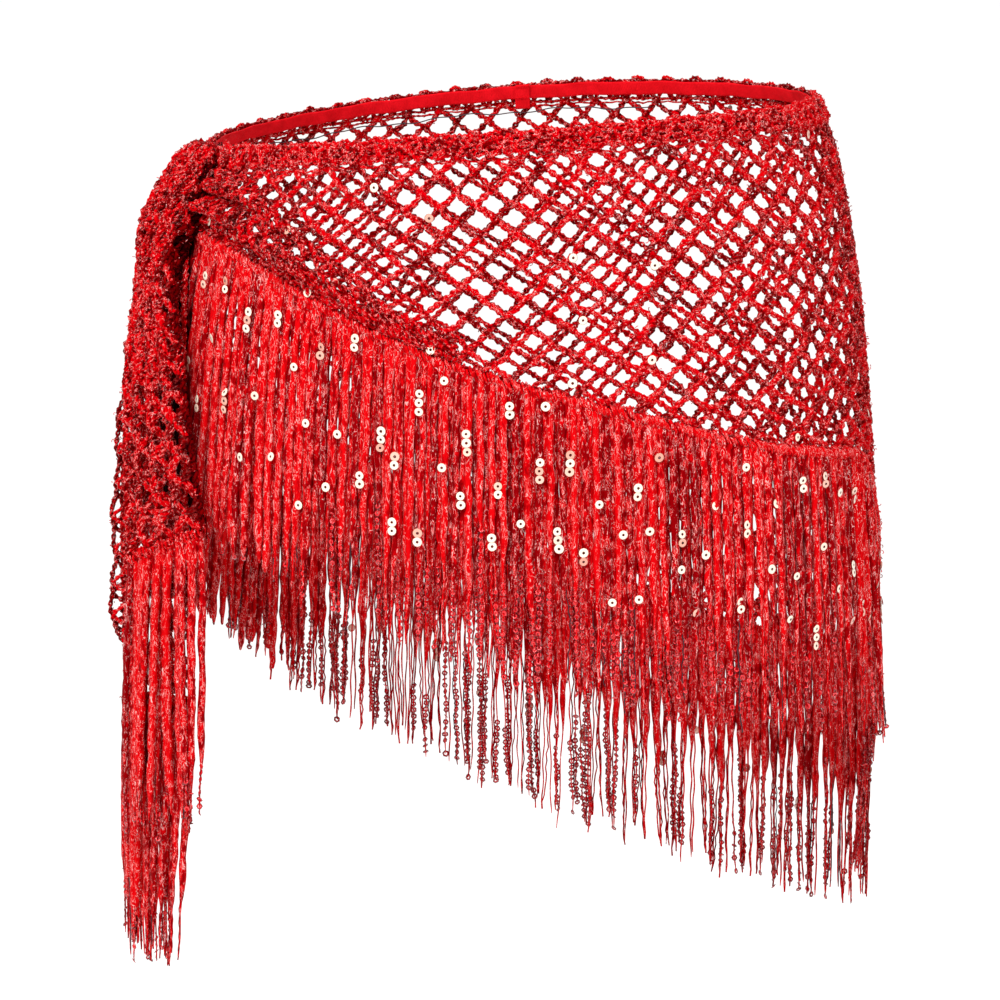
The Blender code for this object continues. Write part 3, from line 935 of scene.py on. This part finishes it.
def picots(band, dice):
    """Small bumps on the band's edge where its meshes meet it: half rings of yarn that stand on the
    edge."""
    run = np.arange(1, int(RUN_METRES[-1] / HALF_ACROSS), 2)
    angle = np.interp(run * HALF_ACROSS, RUN_METRES, RUN_ANGLES)
    angle = angle[(angle > band[0]) & (angle < band[1])]
    turn = np.linspace(0, np.pi, 7)
    width = 0.0026 * dice.uniform(0.8, 1.2, (len(angle), 1))
    height = 0.0013 * dice.uniform(0.5, 1.4, (len(angle), 1))
    along = angle[:, None] + width * np.cos(turn) / arc_rate(angle, 0.0)[:, None]
    paths = body_point(along, 0.0010 - height * np.sin(turn), dice.normal(size=(len(angle), 1)) * 0.0006)
    return two_ply(paths, body_out(along), 0.0007, 0.0006, 0.005, 3, dice, dice.uniform(0, 1, len(angle)))


def band_core(band):
    """The matted inside of the band: a closed bar with a rounded section, a little thinner than the
    solid."""
    angle = np.linspace(*band, 160)[:, None]
    section = np.array([
        (0.0010, -0.0004), (0.0006, 0.0000), (0.0010, 0.0006), (0.0040, 0.0010), (0.0080, 0.0010),
        (0.0100, 0.0006), (0.0103, 0.0000), (0.0100, -0.0004), (0.0055, -0.0007),
    ])
    # Its finish is darker: painted shade where the core shows between the stitches.
    return swept(body_point(angle, section[:, 0], section[:, 1]), 0.4, 1)


def lower_slit(angle):
    """The drop of the band's lowest yarn: it meets the band at each mesh and hangs open between them."""
    run = np.interp(angle, RUN_ANGLES, RUN_METRES) / HALF_ACROSS
    return 0.0122 + 0.0010 * np.abs(np.sin(np.pi * run / 2))


def front_casing(dice):
    """The casing in front: rows of stitches one under another, thick and thin by turns, on a matted core,
    with two layers of turned meshes over them."""
    parts = [band_core(FRONT_BAND)]
    for drop, offset, ply in (
        (0.0012, 0.0004, 0.00105),
        (0.0032, 0.0014, 0.00095),
        (0.0054, 0.0016, 0.00105),
        (0.0076, 0.0015, 0.00095),
        (0.0097, 0.0010, 0.00100),
        (lower_slit, 0.0004, 0.00060),
    ):
        parts += band_row(FRONT_BAND, drop, offset, ply, 180, 0.0009, dice)
    parts += picots(FRONT_BAND, dice)
    parts += turned_meshes(1, mesh_at(TIP_SPLIT_ANGLE), 0.0024, 0.0, dice)
    parts += turned_meshes(1, mesh_at(TIP_SPLIT_ANGLE), 0.0020, 1.0, dice)
    angle = np.linspace(FRONT_BAND[0] + 1, FRONT_BAND[1] - 1, 300)
    path = body_point(angle, 0.0060 + 0.0040 * np.sin(np.arange(300) * 2.4), 0.0016)[None]
    return [*parts, loose_curls(path, body_out(angle)[None], 900, dice, 2)]


def back_casing(dice):
    """The casing at the back, seen from inside: thin rows at its two edges, and two layers of open turned
    meshes."""
    parts = []
    for drop, offset, ply in (
        (0.0014, 0.0000, 0.00095),
        (0.0106, 0.0004, 0.00085),
        (0.0126, 0.0000, 0.00055),
    ):
        parts += band_row(BACK_BAND, drop, offset, ply, 170, 0.0005, dice)
    parts += picots(BACK_BAND, dice)
    first, last = mesh_at(TIP_SPLIT_ANGLE) + 1, mesh_at(BACK_BAND[1])
    parts += turned_meshes(first, last, 0.0010, 0.0, dice)
    parts += turned_meshes(first, last, 0.0016, 0.9, dice)
    return parts


dice = np.random.default_rng(21)
make_piece("casing_front", [NET_YARN, CORE, FUZZ], front_casing(dice), ["front_casing"])
make_piece("casing_back", [NET_YARN, CORE], back_casing(dice), ["back_casing"])


# The tape, its sewn overlap, and a loose dark thread


def flat_bar(ends, drops, outer, inner, columns, wave=0.0):
    """A closed flat strip round the body with rounded edges, between two angles, two drops and two
    offsets."""
    top, bottom = drops
    angle = np.linspace(*ends, columns)[:, None]
    ripple = wave * np.sin(np.radians(angle) * 23) + wave * 0.6 * np.sin(np.radians(angle) * 41 + 1)
    soft = 0.15 * (bottom - top)
    thick = (outer - inner) / 2
    middle = (outer + inner) / 2
    section = np.array([
        (top, middle),
        (top + 0.3 * soft, middle + 0.8 * thick),
        (top + soft, outer),
        (bottom - soft, outer),
        (bottom - 0.3 * soft, middle + 0.8 * thick),
        (bottom, middle),
        (bottom - 0.3 * soft, middle - 0.8 * thick),
        (bottom - soft, inner),
        (top + soft, inner),
        (top + 0.3 * soft, middle - 0.8 * thick),
    ])
    return swept(body_point(angle, section[:, 0] + ripple, section[:, 1]))


def sewn_overlap(dice):
    """The tape's ends sewn together at the back: a bar across the tape, and four rows of zigzag
    stitches."""
    half = JOIN_WIDTH / 2 / float(arc_rate(np.array(JOIN_ANGLE), TAPE_DROPS[0]))
    bar = flat_bar((JOIN_ANGLE - half, JOIN_ANGLE + half), JOIN_DROPS, -0.0029, -0.0036, 14)
    angle = np.linspace(JOIN_ANGLE - half * 0.85, JOIN_ANGLE + half * 0.85, 12)
    zigzag = 0.0003 * np.where(np.arange(12) % 2, 1, -1)
    rows = np.array((0.0016, 0.0022, 0.0076, 0.0082))[:, None]
    paths = body_point(angle, rows + zigzag, -0.0037)
    out = np.broadcast_to(body_out(np.full(12, JOIN_ANGLE)), paths.shape)
    return [bar, tubes(paths, out, 0.00022, 4, dice.uniform(0, 1, len(paths)))]


def loose_thread():
    """A thread that hangs inside the back meshes just below the band: its drop is the sum of two slow
    sines."""
    angle = np.linspace(62.0, 186.0, 220)
    drop = 0.0150 + 0.0007 * np.sin(np.radians(angle) * 17) + 0.0004 * np.sin(np.radians(angle) * 47)
    return [tubes(body_point(angle, drop, -0.0022)[None], body_out(angle)[None], 0.00032, 5, 0.5)]


tape_parts = [flat_bar(TAPE_ENDS, TAPE_DROPS, -0.0017, -0.0025, 240, 0.00022)]
make_piece("tape", [TAPE], tape_parts, ["waist_tape"])
make_piece("tape_join", [TAPE], sewn_overlap(np.random.default_rng(31)), ["back_join"])
make_piece("loose_thread", [DARK_THREAD], loose_thread())


# The knot


def tail_place(tail, u, v, lift=0.0):
    """A place on a tail: u from its front edge to its back edge, v from the knot to its hem."""
    fan = np.clip(v, 0, None) ** TAIL_FAN_POWER
    angle = mix(
        mix(tail["start_angles"][0], tail["end_angles"][0], fan),
        mix(tail["start_angles"][1], tail["end_angles"][1], fan),
        u,
    )
    drop = mix(TAIL_TOP, mix(*tail["end_drops"], u), v)
    fold = mix(*tail["fold_depths"], fan) * (0.5 - 0.5 * np.cos(2 * np.pi * tail["folds"] * u))
    bulge = tail["bulge"] * np.sin(np.pi * np.clip(v, 0, 1)) ** 0.8 * u * u
    return angle, drop, mix(*tail["base_offsets"], v) + fold + bulge + lift


def knot_place(turn, drop, puff=0.0):
    """A level of the knot is a superellipse: along = sign(cos)·|cos|^p and out likewise, pleated on the
    outside. Gives the angle and the offset."""
    along = np.sign(np.cos(turn)) * np.abs(np.cos(turn)) ** KNOT_POWER
    out = np.sign(np.sin(turn)) * np.abs(np.sin(turn)) ** KNOT_POWER
    out = np.where(out > 0, out * (1 + KNOT_PLEAT_DEPTH * np.cos(np.pi * KNOT_PLEATS * along)), out)
    half_width = smooth(KNOT_ROWS, drop, 1) + puff
    inner, outer = smooth(KNOT_ROWS, drop, 2) - puff, smooth(KNOT_ROWS, drop, 3) + puff
    angle = KNOT_ANGLE + along * half_width / arc_rate(KNOT_ANGLE, drop)
    return angle, (inner + outer) / 2 + (outer - inner) / 2 * out


def drape_place(turn, drop, puff):
    """The net drawn over the knot and on down: the knot's own outside, mixed below it into the front
    tail's."""
    angle, offset = knot_place(turn, np.minimum(drop, KNOT_BOTTOM), puff)
    tail = TAILS["front"]
    u = np.clip(turn / np.pi, 0, 1)
    v = np.clip((drop - TAIL_TOP) / (mix(*tail["end_drops"], u) - TAIL_TOP), 0, 1)
    tail_angle, _, tail_offset = tail_place(tail, u, v, puff)
    below = ease((drop - 0.034) / 0.070)
    return mix(angle, tail_angle, below), drop, mix(offset, tail_offset, below)


def knot_drape(dice):
    """The net bunched over the knot in long narrow meshes, in two layers half a mesh apart, from the band
    down on to the tail. It runs a little past the knot's two sides, and its front side lies in the groove,
    down to where the tail fills that, and gets painted shade there."""
    across, down = 16, 13
    parts = []
    for shift, puff, reach in ((0.0, 0.0000, 0.112), (0.5, 0.0010, 0.092)):
        start, end = lattice(-1, across + 1, down)

        def half_turns(flat):
            return (flat[..., 0] + shift) / across * 1.24 - 0.12

        def level(flat):
            return 0.0004 + reach * np.clip((flat[..., 1] + shift * 0.5) / down, 0, 1)

        def place(flat):
            angle, drop, offset = drape_place(half_turns(flat) * np.pi, level(flat), puff)
            return body_point(angle, drop, offset), body_out(angle)

        every = np.ones(len(start))
        paths, out = yarn_paths(start, end, 0 * every, every, 6, place, dice, 0.10)
        tone = dice.uniform(0, 1, len(paths))
        # Painted shade on the yarns of the knot's front side, fading out down to where the tail fills the
        # groove.
        deep = 0.8 * ease((0.065 - half_turns(start)) / 0.10) * ease((0.090 - level(start)) / 0.040)
        parts += two_ply(paths, out, DRAPE_PLY, DRAPE_LAY, DRAPE_PITCH, 3, dice, tone, deep[:, None])
        parts.append(loose_curls(paths, out, 330, dice, 2))
    return parts


def knot_core():
    """The matted inside of the knot: its solid, a little smaller."""
    levels = np.linspace(0, KNOT_BOTTOM, 26)[:, None]
    around = (2 * np.pi * (np.arange(72) + 0.5) / 72)[None]
    angle, offset = knot_place(*np.broadcast_arrays(around, levels), -0.0006)
    # Its finish is darker: painted shade where the core shows between the drape's yarns.
    return closed_shell(body_point(angle, levels, offset), 0.4, 1)


parts = [knot_core(), *knot_drape(np.random.default_rng(41))]
make_piece("knot_wrapped", [NET_YARN, CORE, FUZZ], parts, ["knot"])


# The two tails


def tail_net(side, seed):
    """A tail's net: meshes drawn long and narrow because it is bunched, with an edge yarn at its front and
    back. The front tail's front edge lies in the groove, and its yarns there get painted shade."""
    dice = np.random.default_rng(seed)
    tail = TAILS[side]
    across, down = tail["meshes"]
    in_groove = 1.0 if side == "front" else 0.0
    parts = []
    every_path = []

    def outside(flat):
        return np.maximum(-flat[..., 0], flat[..., 0] - across)

    for shift, lift in tail["layers"]:
        start, end, low, high = clipped(*lattice(0, across, down), outside)

        def place(flat):
            u = np.clip(flat[..., 0] / across, 0, 1)
            v = np.clip((flat[..., 1] + shift) / (down + shift), 0, 1)
            angle, drop, offset = tail_place(tail, u, v, lift)
            return body_point(angle, drop, offset), body_out(angle)

        paths, out = yarn_paths(start, end, low, high, 6, place, dice, 0.10)
        tone = dice.uniform(0, 1, len(paths))
        # Painted shade on the front tail's yarns along its front edge.
        deep = in_groove * 0.5 * ease((0.10 - start[:, :1] / across) / 0.10)
        parts += two_ply(paths, out, PLY_RADIUS, LAY_RADIUS, YARN_PITCH, 4, dice, tone, deep)
        every_path.append((paths, out))
    # The front tail's front edge yarn gets painted shade as well.
    for u, deep in ((0.0, in_groove * 0.6), (1.0, 0.0)):
        angle, drop, offset = tail_place(tail, u, np.linspace(0, 1, 110))
        path = body_point(angle, drop, offset)[None]
        parts += two_ply(path, body_out(angle)[None], 0.0010, 0.0009, 0.0075, 4, dice, 0.4, deep)
    for paths, out in every_path:
        parts.append(loose_curls(paths, out, 330, dice, 1))
    return make_piece(f"tail_net_{side}", [NET_YARN, FUZZ], parts, [f"{side}_tail"])


def tail_rim(dice):
    """Open loops of the tail's outermost meshes, which stand out at the left: an edge yarn, and two that
    swing between it and the tail, by half the reach times 1 - cos(2π·drop / loop length)."""
    first, last = RIM_DROPS
    drop = np.linspace(first, last, 120)
    tail = TAILS["back"]
    v = (drop - TAIL_TOP) / (tail["end_drops"][1] - TAIL_TOP)
    _, _, ground = tail_place(tail, 0.80, v)
    reach = RIM_REACH * ease((drop - first) / 0.05) * ease((last - drop) / 0.02)
    slow = 0.0009 * np.sin(drop * 140) + 0.0006 * np.sin(drop * 373)
    loop = 2 * np.pi * drop / RIM_PERIOD
    parts = []
    for angle, swing in (
        (RIM_ANGLE, np.ones_like(drop)),
        (RIM_ANGLE - 1.0, 0.5 - 0.5 * np.cos(loop)),
        (RIM_ANGLE + 1.2, 0.45 - 0.45 * np.cos(loop + 2.2)),
    ):
        path = body_point(angle + 90 * slow, drop, ground - 0.0005 + (reach + slow) * swing)[None]
        out = body_out(np.full(drop.shape, angle))[None]
        parts += two_ply(path, out, 0.00085, 0.00080, YARN_PITCH, 4, dice, dice.uniform(0, 1, 1))
        parts.append(loose_curls(path, out, 60, dice, 1, 0.00022))
    return parts


tail_net_front = tail_net("front", 51)
tail_net_back = tail_net("back", 52)
make_piece("tail_rim_back", [NET_YARN, FUZZ], tail_rim(np.random.default_rng(53)))


# Fringes


def front_hem(u):
    return hem_edge(mix(-165.5, TIP_SPLIT_ANGLE - 0.1, u))


def back_hem(u):
    return hem_edge(mix(TIP_SPLIT_ANGLE + 0.3, 186.6, u))


def hem_edge(angle):
    """The net's hem at an angle: angle, drop and offset."""
    return angle, hem_drop(angle), net_offset(angle, np.ones_like(angle))


def front_tail_hem(u):
    return tail_place(TAILS["front"], u, np.ones_like(u))


def back_tail_hem(u):
    return tail_place(TAILS["back"], u, np.ones_like(u))


def evenly(edge, spacing):
    """Places along an edge at equal lengths of run. edge(u) gives angle, drop and offset for u from 0 to
    1."""
    u = np.linspace(0, 1, 3001)
    steps = np.linalg.norm(np.diff(body_point(*edge(u)), axis=0), axis=-1)
    run = np.concatenate([[0.0], np.cumsum(steps)])
    count = int(run[-1] / spacing)
    return np.interp((np.arange(count) + 0.5) * run[-1] / count, run, u)


def columns_of(edge, places):
    """An edge's angle, drop and offset at some places, each as a column."""
    return (np.reshape(part, (-1, 1)) for part in edge(places))


def heading(edge, stitch_sides, dice):
    """The braid that carries the cords: a core bar along the hem, slanted stitches over its outside and
    back over its inside, which bulge by the square root of sin(π·t) on the way down, and loose curls."""
    angle, drop, offset = columns_of(edge, np.linspace(0, 1, 260))
    section = np.array([
        (0.0000, 0.0002), (0.0004, 0.0011), (0.0026, 0.0014), (0.0048, 0.0011), (0.0054, 0.0000),
        (0.0048, -0.0011), (0.0026, -0.0013), (0.0004, -0.0010),
    ])
    # The bar's finish is darker: painted shade where it shows between the stitches.
    bar = swept(body_point(angle, drop + HEADING_TOP + section[:, 0], offset + section[:, 1]), 0.4, 1)
    places = evenly(edge, STITCH_SPACING)
    angle, drop, offset = columns_of(edge, places)
    t = np.linspace(0, 1, 5)
    slant = 0.0022 * (t - 0.5) / arc_rate(angle, drop)
    bulge = 0.0019 * np.sin(np.pi * t) ** 0.5
    uneven = dice.normal(size=angle.shape) * 0.0006
    level = drop + HEADING_TOP - 0.0003 + uneven + t * (HEADING_HEIGHT + 0.0006)
    outside = body_point(angle + slant, level, offset + bulge)
    inside = body_point(angle - slant, level, offset - bulge)
    out = body_out(angle + slant)
    tone = dice.uniform(0.55, 1, len(places))
    thick = 0.00085 * dice.uniform(0.75, 1.2, (len(places), 1))
    curls = loose_curls(outside, out, int(len(places) * 0.6), dice, 3)
    return [bar, tubes(outside, out, thick, stitch_sides, tone), tubes(inside, -out, 0.00085, 3, tone), curls]


def longer(angle):
    """How much longer than the rest the cords at the long point hang, in shares of their length. Those at
    the back beside it, at the tails' outer rim and at the front fringe's right end are shorter. Each is a
    bell curve."""
    point = 0.045 * np.exp(-(((angle - 12.0) / 8.0) ** 2))
    beside = 0.035 * np.exp(-(((angle - 46.0) / 16.0) ** 2))
    rim = 0.090 * np.exp(-(((angle + 180.0) / 8.0) ** 2))
    corner = 0.090 * np.exp(-(((angle + 3.0) / 6.0) ** 2))
    return point - beside - rim - corner


def slow_wave(count, rate, dice):
    """A random wave over neighbouring cords: three sines of different rates and phases, summed."""
    k = np.arange(count)
    return sum(np.sin(k * rate * f + dice.uniform(0, 2 * np.pi)) for f in (1.0, 1.73, 2.61)) / 1.8


def cords(edge, rings, spread, short, dice):
    """Paths of the cords, their directions out, and their angle and drops. A path's drop grows by the
    cord's own length. Along the cloth it drifts with its neighbours' slow wave, by a little of its own and
    by a fine crimp, and those at the edge's start lean by spread at their ends. It stands off by turns, so
    that cords overlap, and at the right hip it leans in, and flares at its end."""
    places = evenly(edge, CORD_SPACING)
    count = len(places)
    angle, drop, offset = columns_of(edge, places)
    uneven = 0.022 * slow_wave(count, 0.9, dice) + 0.030 * dice.normal(size=count).clip(-1.8, 1.4)
    length = CORD_LENGTH * (1 + uneven) * (1 + longer(angle[:, 0]) - short)
    p = np.linspace(0, 1, rings)[None]
    down = p * length[:, None]
    drift = 0.0022 * slow_wave(count, 0.45, dice)[:, None] * p**2.5
    drift = drift + 0.0016 * dice.normal(size=(count, 1)) * p**3
    drift = drift + spread * (1 - places[:, None]) * p
    rate, phase = dice.uniform(140, 330, (count, 1)), dice.uniform(0, 2 * np.pi, (count, 1))
    drift = drift + 0.00038 * np.sin(down * rate + phase) * ease(p * 5)
    layer = 0.0010 * np.where(np.arange(count) % 2, 1, -1)[:, None] + 0.0004 * dice.normal(size=(count, 1))
    wave = 0.0014 * slow_wave(count, 0.4, dice)[:, None]
    inward = 0.0090 * ease((angle + 8.0) / 10.0) * ease((15.0 - angle) / 4.0)
    flare = 0.0042 * np.exp(-(((angle + 6.0) / 7.0) ** 2))
    stand = layer * ease(p * 6) + wave * p**1.4 - inward * p + flare * p**3
    level = drop + HEADING_TOP + HEADING_HEIGHT - 0.0012 + down
    paths = body_point(angle + drift / arc_rate(angle, drop), level, offset + stand)
    return paths, np.broadcast_to(body_out(angle), paths.shape), angle, level


def thinning_from(side, angle, between, dice):
    """The share of its length at which each cord begins to thin out. Near the knot, and at the front
    fringe's right end, the cords stay thick for longer."""
    start = dice.uniform(*between, angle.shape)
    if side == "front":
        start = start + 0.38 * ease((-112.0 - angle) / 26.0) + 0.16 * ease((angle + 22.0) / 16.0)
    if side == "back":
        start = start + 0.48 * ease((angle - 116.0) / 24.0)
    return np.minimum(start, 0.94)


def fringe(side, edge, node, seed, rings, sides, thinning, crown=40, spread=0.0, short=0.0):
    """A fringe: cords that hang from the heading and thin out, the second strands of some of them, and the
    heading. Gives the cords' paths."""
    dice = np.random.default_rng(seed)
    paths, out, angle, level = cords(edge, rings, spread, short, dice)
    count = len(paths)
    p = np.linspace(0, 1, rings)
    thin_from = thinning_from(side, angle, thinning, dice)
    thin = ease((p - thin_from) / 0.16)
    end = 1 - 0.5 * ease((p - 0.965) / 0.035)
    uneven = 1 + 0.08 * dice.normal(size=(rings, count)).T
    radius = mix(CORD_RADIUS, THINNED_RADIUS, thin) * end * uneven
    tone = dice.uniform(0, 1, count)
    # Painted shade on the front fringe's cords where they hang in the groove beside the tail.
    deep = groove(angle, level) if side == "front" else 0.0
    whole = tubes(paths, out, radius, sides, tone, 0, deep)
    curls = loose_curls(paths[:, :5], out[:, :5], crown, dice, 3)
    split = dice.uniform(size=count) < 0.72
    side_paths, side_out = second_strands(paths[split], out[split], p, thin_from[split], dice)
    kind = dice.uniform(size=len(side_paths))
    strands = [
        tubes(side_paths[chosen], side_out[chosen], thick, 3, dice.uniform(0, 1, chosen.sum()), finish)
        for chosen, thick, finish in (
            (kind < 0.40, 0.00048, 0),
            ((kind >= 0.40) & (kind < 0.84), 0.00044, 1),
            (kind >= 0.84, 0.00034, 2),
        )
    ]
    parts = [whole, curls, *strands, *heading(edge, 5 if side == "front" else 3, dice)]
    make_piece(f"fringe_{side}", [CORD, CORE, DARK_THREAD, FUZZ], parts, [node])
    return paths


def second_strands(paths, out, p, thin_from, dice):
    """The second strand of some cords: it leaves the cord where that thins, swings up to 2 mm to one side
    and comes back to its end: path + swing·sin(π·q)^0.7·beside, with q the share of the way from there
    down, and a crimp."""
    q = np.linspace(0, 1, 20)
    at = mix(thin_from, 1.0, q)
    picked = np.stack([
        np.stack([np.interp(at[k], p, paths[k, :, axis]) for axis in range(3)], -1) for k in range(len(paths))
    ])
    guide = np.broadcast_to(out[:, :1], picked.shape)
    _, beside, _, run = frames(picked, guide)
    swing = dice.uniform(0.0006, 0.0022, (len(paths), 1)) * dice.choice([-1, 1], (len(paths), 1))
    phase = dice.uniform(0, 2 * np.pi, (len(paths), 1))
    side = swing * np.sin(np.pi * q) ** 0.7 + 0.0004 * np.sin(run * 900 + phase)
    return picked + side[..., None] * beside, guide


def points_along(path, run, at):
    """Points of a path (R, 3) at some lengths of its run."""
    return np.stack([np.interp(at, run, path[:, axis]) for axis in range(3)], -1)


def out_of_body(centres):
    """The level direction from the middle of the body to each point."""
    outward = centres * (1, 1, 0)
    return outward / np.linalg.norm(outward, axis=-1, keepdims=True)


def strung_sequins(name, paths, dice, share):
    """Red sequins strung along the lower parts of some cords, each turned a little its own way."""
    chosen = np.nonzero(dice.uniform(size=len(paths)) < share)[0]
    _, _, _, run = frames(paths, np.broadcast_to((0.0, -1.0, 0.0), paths.shape))
    centres = []
    for k in chosen:
        length = run[k, -1]
        begin = length * dice.uniform(0.44, 0.78)
        stop = length * dice.uniform(0.92, 1.0)
        at = np.arange(begin, stop, STRUNG_SPACING)
        if dice.uniform() < 0.4:
            at = np.append(at, length)
        centres.append(points_along(paths[k], run[k], at))
    centres = np.concatenate(centres)
    facing = out_of_body(centres) + dice.normal(size=centres.shape) * 0.45
    up = np.array([0.0, 0.0, 1.0]) + dice.normal(size=centres.shape) * 0.2
    shape = ring_shape(6, ((1.0, 0.0, 0.05), (0.42, 0.24, 1.0), (0.42, -0.08, 0.4)))
    sizes = STRUNG_RADIUS * dice.uniform(0.88, 1.12, len(centres))
    part = stamped(shape, centres, facing, up, sizes, dice.uniform(0.45, 1, len(centres)))
    make_piece(name, [RED_SEQUIN], [part])


front_cords = fringe("front", front_hem, "front_fringe", 61, 40, 5, (0.42, 0.70), crown=600)
back_cords = fringe("back", back_hem, "back_fringe", 62, 36, 4, (0.28, 0.56))
front_tail_cords = fringe(
    "tail_front", front_tail_hem, "front_tail_fringe", 63, 40, 5, (0.70, 0.86), spread=0.0085,
)
back_tail_cords = fringe(
    "tail_back", back_tail_hem, "back_tail_fringe", 64, 40, 5, (0.55, 0.80), spread=-0.0090, short=0.05,
)
tail_cords = np.concatenate([front_tail_cords, back_tail_cords])

dice = np.random.default_rng(71)
strung_sequins("strung_sequins_front", front_cords, dice, 0.55)
strung_sequins("strung_sequins_back", back_cords, dice, 0.48)
strung_sequins("strung_sequins_tails", tail_cords, dice, 0.5)


# Sequins painted cream as glints


def glint_sequins_on_cords(paths, groups, dice, low, high):
    """Groups of one to three sequins, one under another on a cord, between two shares of the cords'
    length."""
    pick = ((np.arange(groups) + dice.uniform(0, 1, groups)) * len(paths) / groups).astype(int)
    share = mix(low, high, (np.arange(groups) * 0.618 + dice.uniform(0, 0.25, groups)) % 1.0)
    run = np.linspace(0, CORD_LENGTH, paths.shape[1])
    return np.concatenate([
        points_along(paths[k], run, s * CORD_LENGTH + np.arange(n) * GLINT_SEQUIN_SPACING)
        for k, s, n in zip(pick, share, dice.choice([1, 1, 1, 2, 2, 3], groups))
    ])


def glint_painted_sequins(name, centres, dice, lift, forward):
    """Sequins painted cream as glints, laid on the cloth and facing out of it, those in front turned more to
    the front. At the right hip they lie closer to the cords."""
    outward = out_of_body(centres)
    facing = outward + dice.normal(size=centres.shape) * 0.18
    facing[:, 1] -= forward * (-outward[:, 1]).clip(0, 1)
    up = np.array([0.0, 0.0, 1.0]) + dice.normal(size=centres.shape) * 0.3
    # The rim's low shade is a painted shadow round each sequin, and the hole, nearly closed, is painted dark
    # as shade.
    shape = ring_shape(11, (
        (1.0, 0.0, 0.15),
        (0.88, 0.05, 1.0),
        (0.34, 0.16, 1.0),
        (0.26, 0.06, 0.0),
        (0.08, -0.02, 0.0),
        (0.34, -0.10, 0.9),
    ))
    near = 1 - 0.5 * outward[:, :1].clip(0, 1) ** 8
    sizes = GLINT_SEQUIN_RADIUS * dice.uniform(0.92, 1.08, len(centres))
    # A random tone makes some of them peach, a weaker painted glint.
    tone = dice.uniform(0.26, 1, len(centres))
    part = stamped(shape, centres + outward * lift * near, facing, up, sizes, tone)
    make_piece(name, [GLINT_PAINTED_SEQUIN], [part])


dice = np.random.default_rng(81)
glint_painted_sequins("glint_painted_sequins_front", glint_sequins_on_cords(front_cords, 84, dice, 0.02, 0.66), dice, 0.0046, 1.0)
glint_painted_sequins("glint_painted_sequins_back", glint_sequins_on_cords(back_cords, 60, dice, 0.02, 0.70), dice, 0.0046, 0.0)
centres = np.concatenate([
    front_paths[dice.integers(0, len(front_paths), 22), 3],
    back_paths[dice.integers(0, len(back_paths), 30), 3],
])
glint_painted_sequins("glint_painted_sequins_net", centres, dice, 0.0030, 0.3)


# Floor, light and camera

FLOOR_HEIGHT = -0.95
FLOOR_HALF_SIDE = 30.0


def floor():
    mesh = bpy.data.meshes.new("floor")
    corners = [(x * FLOOR_HALF_SIDE, y * FLOOR_HALF_SIDE) for x, y in ((-1, -1), (1, -1), (1, 1), (-1, 1))]
    mesh.from_pydata([(x, y, FLOOR_HEIGHT) for x, y in corners], [], [(0, 1, 2, 3)])
    mesh.materials.append(PAPER)
    made = bpy.data.objects.new("floor", mesh)
    bpy.context.scene.collection.objects.link(made)


def area_light(name, place, aim, size, watts):
    data = bpy.data.lights.new(name, "AREA")
    data.shape = "DISK"
    data.size = size
    data.energy = watts
    lamp = bpy.data.objects.new(name, data)
    lamp.location = place
    to_aim = [b - a for a, b in zip(place, aim)]
    lamp.rotation_mode = "QUATERNION"
    lamp.rotation_quaternion = Vector(to_aim).to_track_quat("-Z", "Y")
    bpy.context.scene.collection.objects.link(lamp)


floor()
area_light("key", (-1.1, -1.5, 1.1), (0, 0, -0.15), 0.7, 16)
area_light("fill", (1.5, -1.2, 0.3), (0, 0, -0.2), 1.0, 7)
area_light("rim", (0.3, 1.6, 1.1), (0, 0, -0.15), 1.0, 10)

sun = bpy.data.lights.new("overhead_bank", "SUN")
sun.energy = 2.5
sun.angle = math.radians(24)
sun_lamp = bpy.data.objects.new("overhead_bank", sun)
sun_lamp.rotation_euler = (math.radians(38), 0, math.radians(-14))
bpy.context.scene.collection.objects.link(sun_lamp)

world = bpy.data.worlds.new("studio")
world.use_nodes = True
world.node_tree.nodes["Background"].inputs["Color"].default_value = (1.0, 1.0, 1.0, 1.0)
world.node_tree.nodes["Background"].inputs["Strength"].default_value = 0.5
bpy.context.scene.world = world
bpy.context.scene.view_settings.view_transform = "Standard"

camera_data = bpy.data.cameras.new("camera")
camera_data.lens = 144
camera_data.sensor_width = 36
camera = bpy.data.objects.new("camera", camera_data)
camera.location = (-0.0065, -1.95985, 0.20824)
camera.rotation_euler = (math.radians(90 - 11.5), 0, 0)
bpy.context.scene.collection.objects.link(camera)
bpy.context.scene.camera = camera
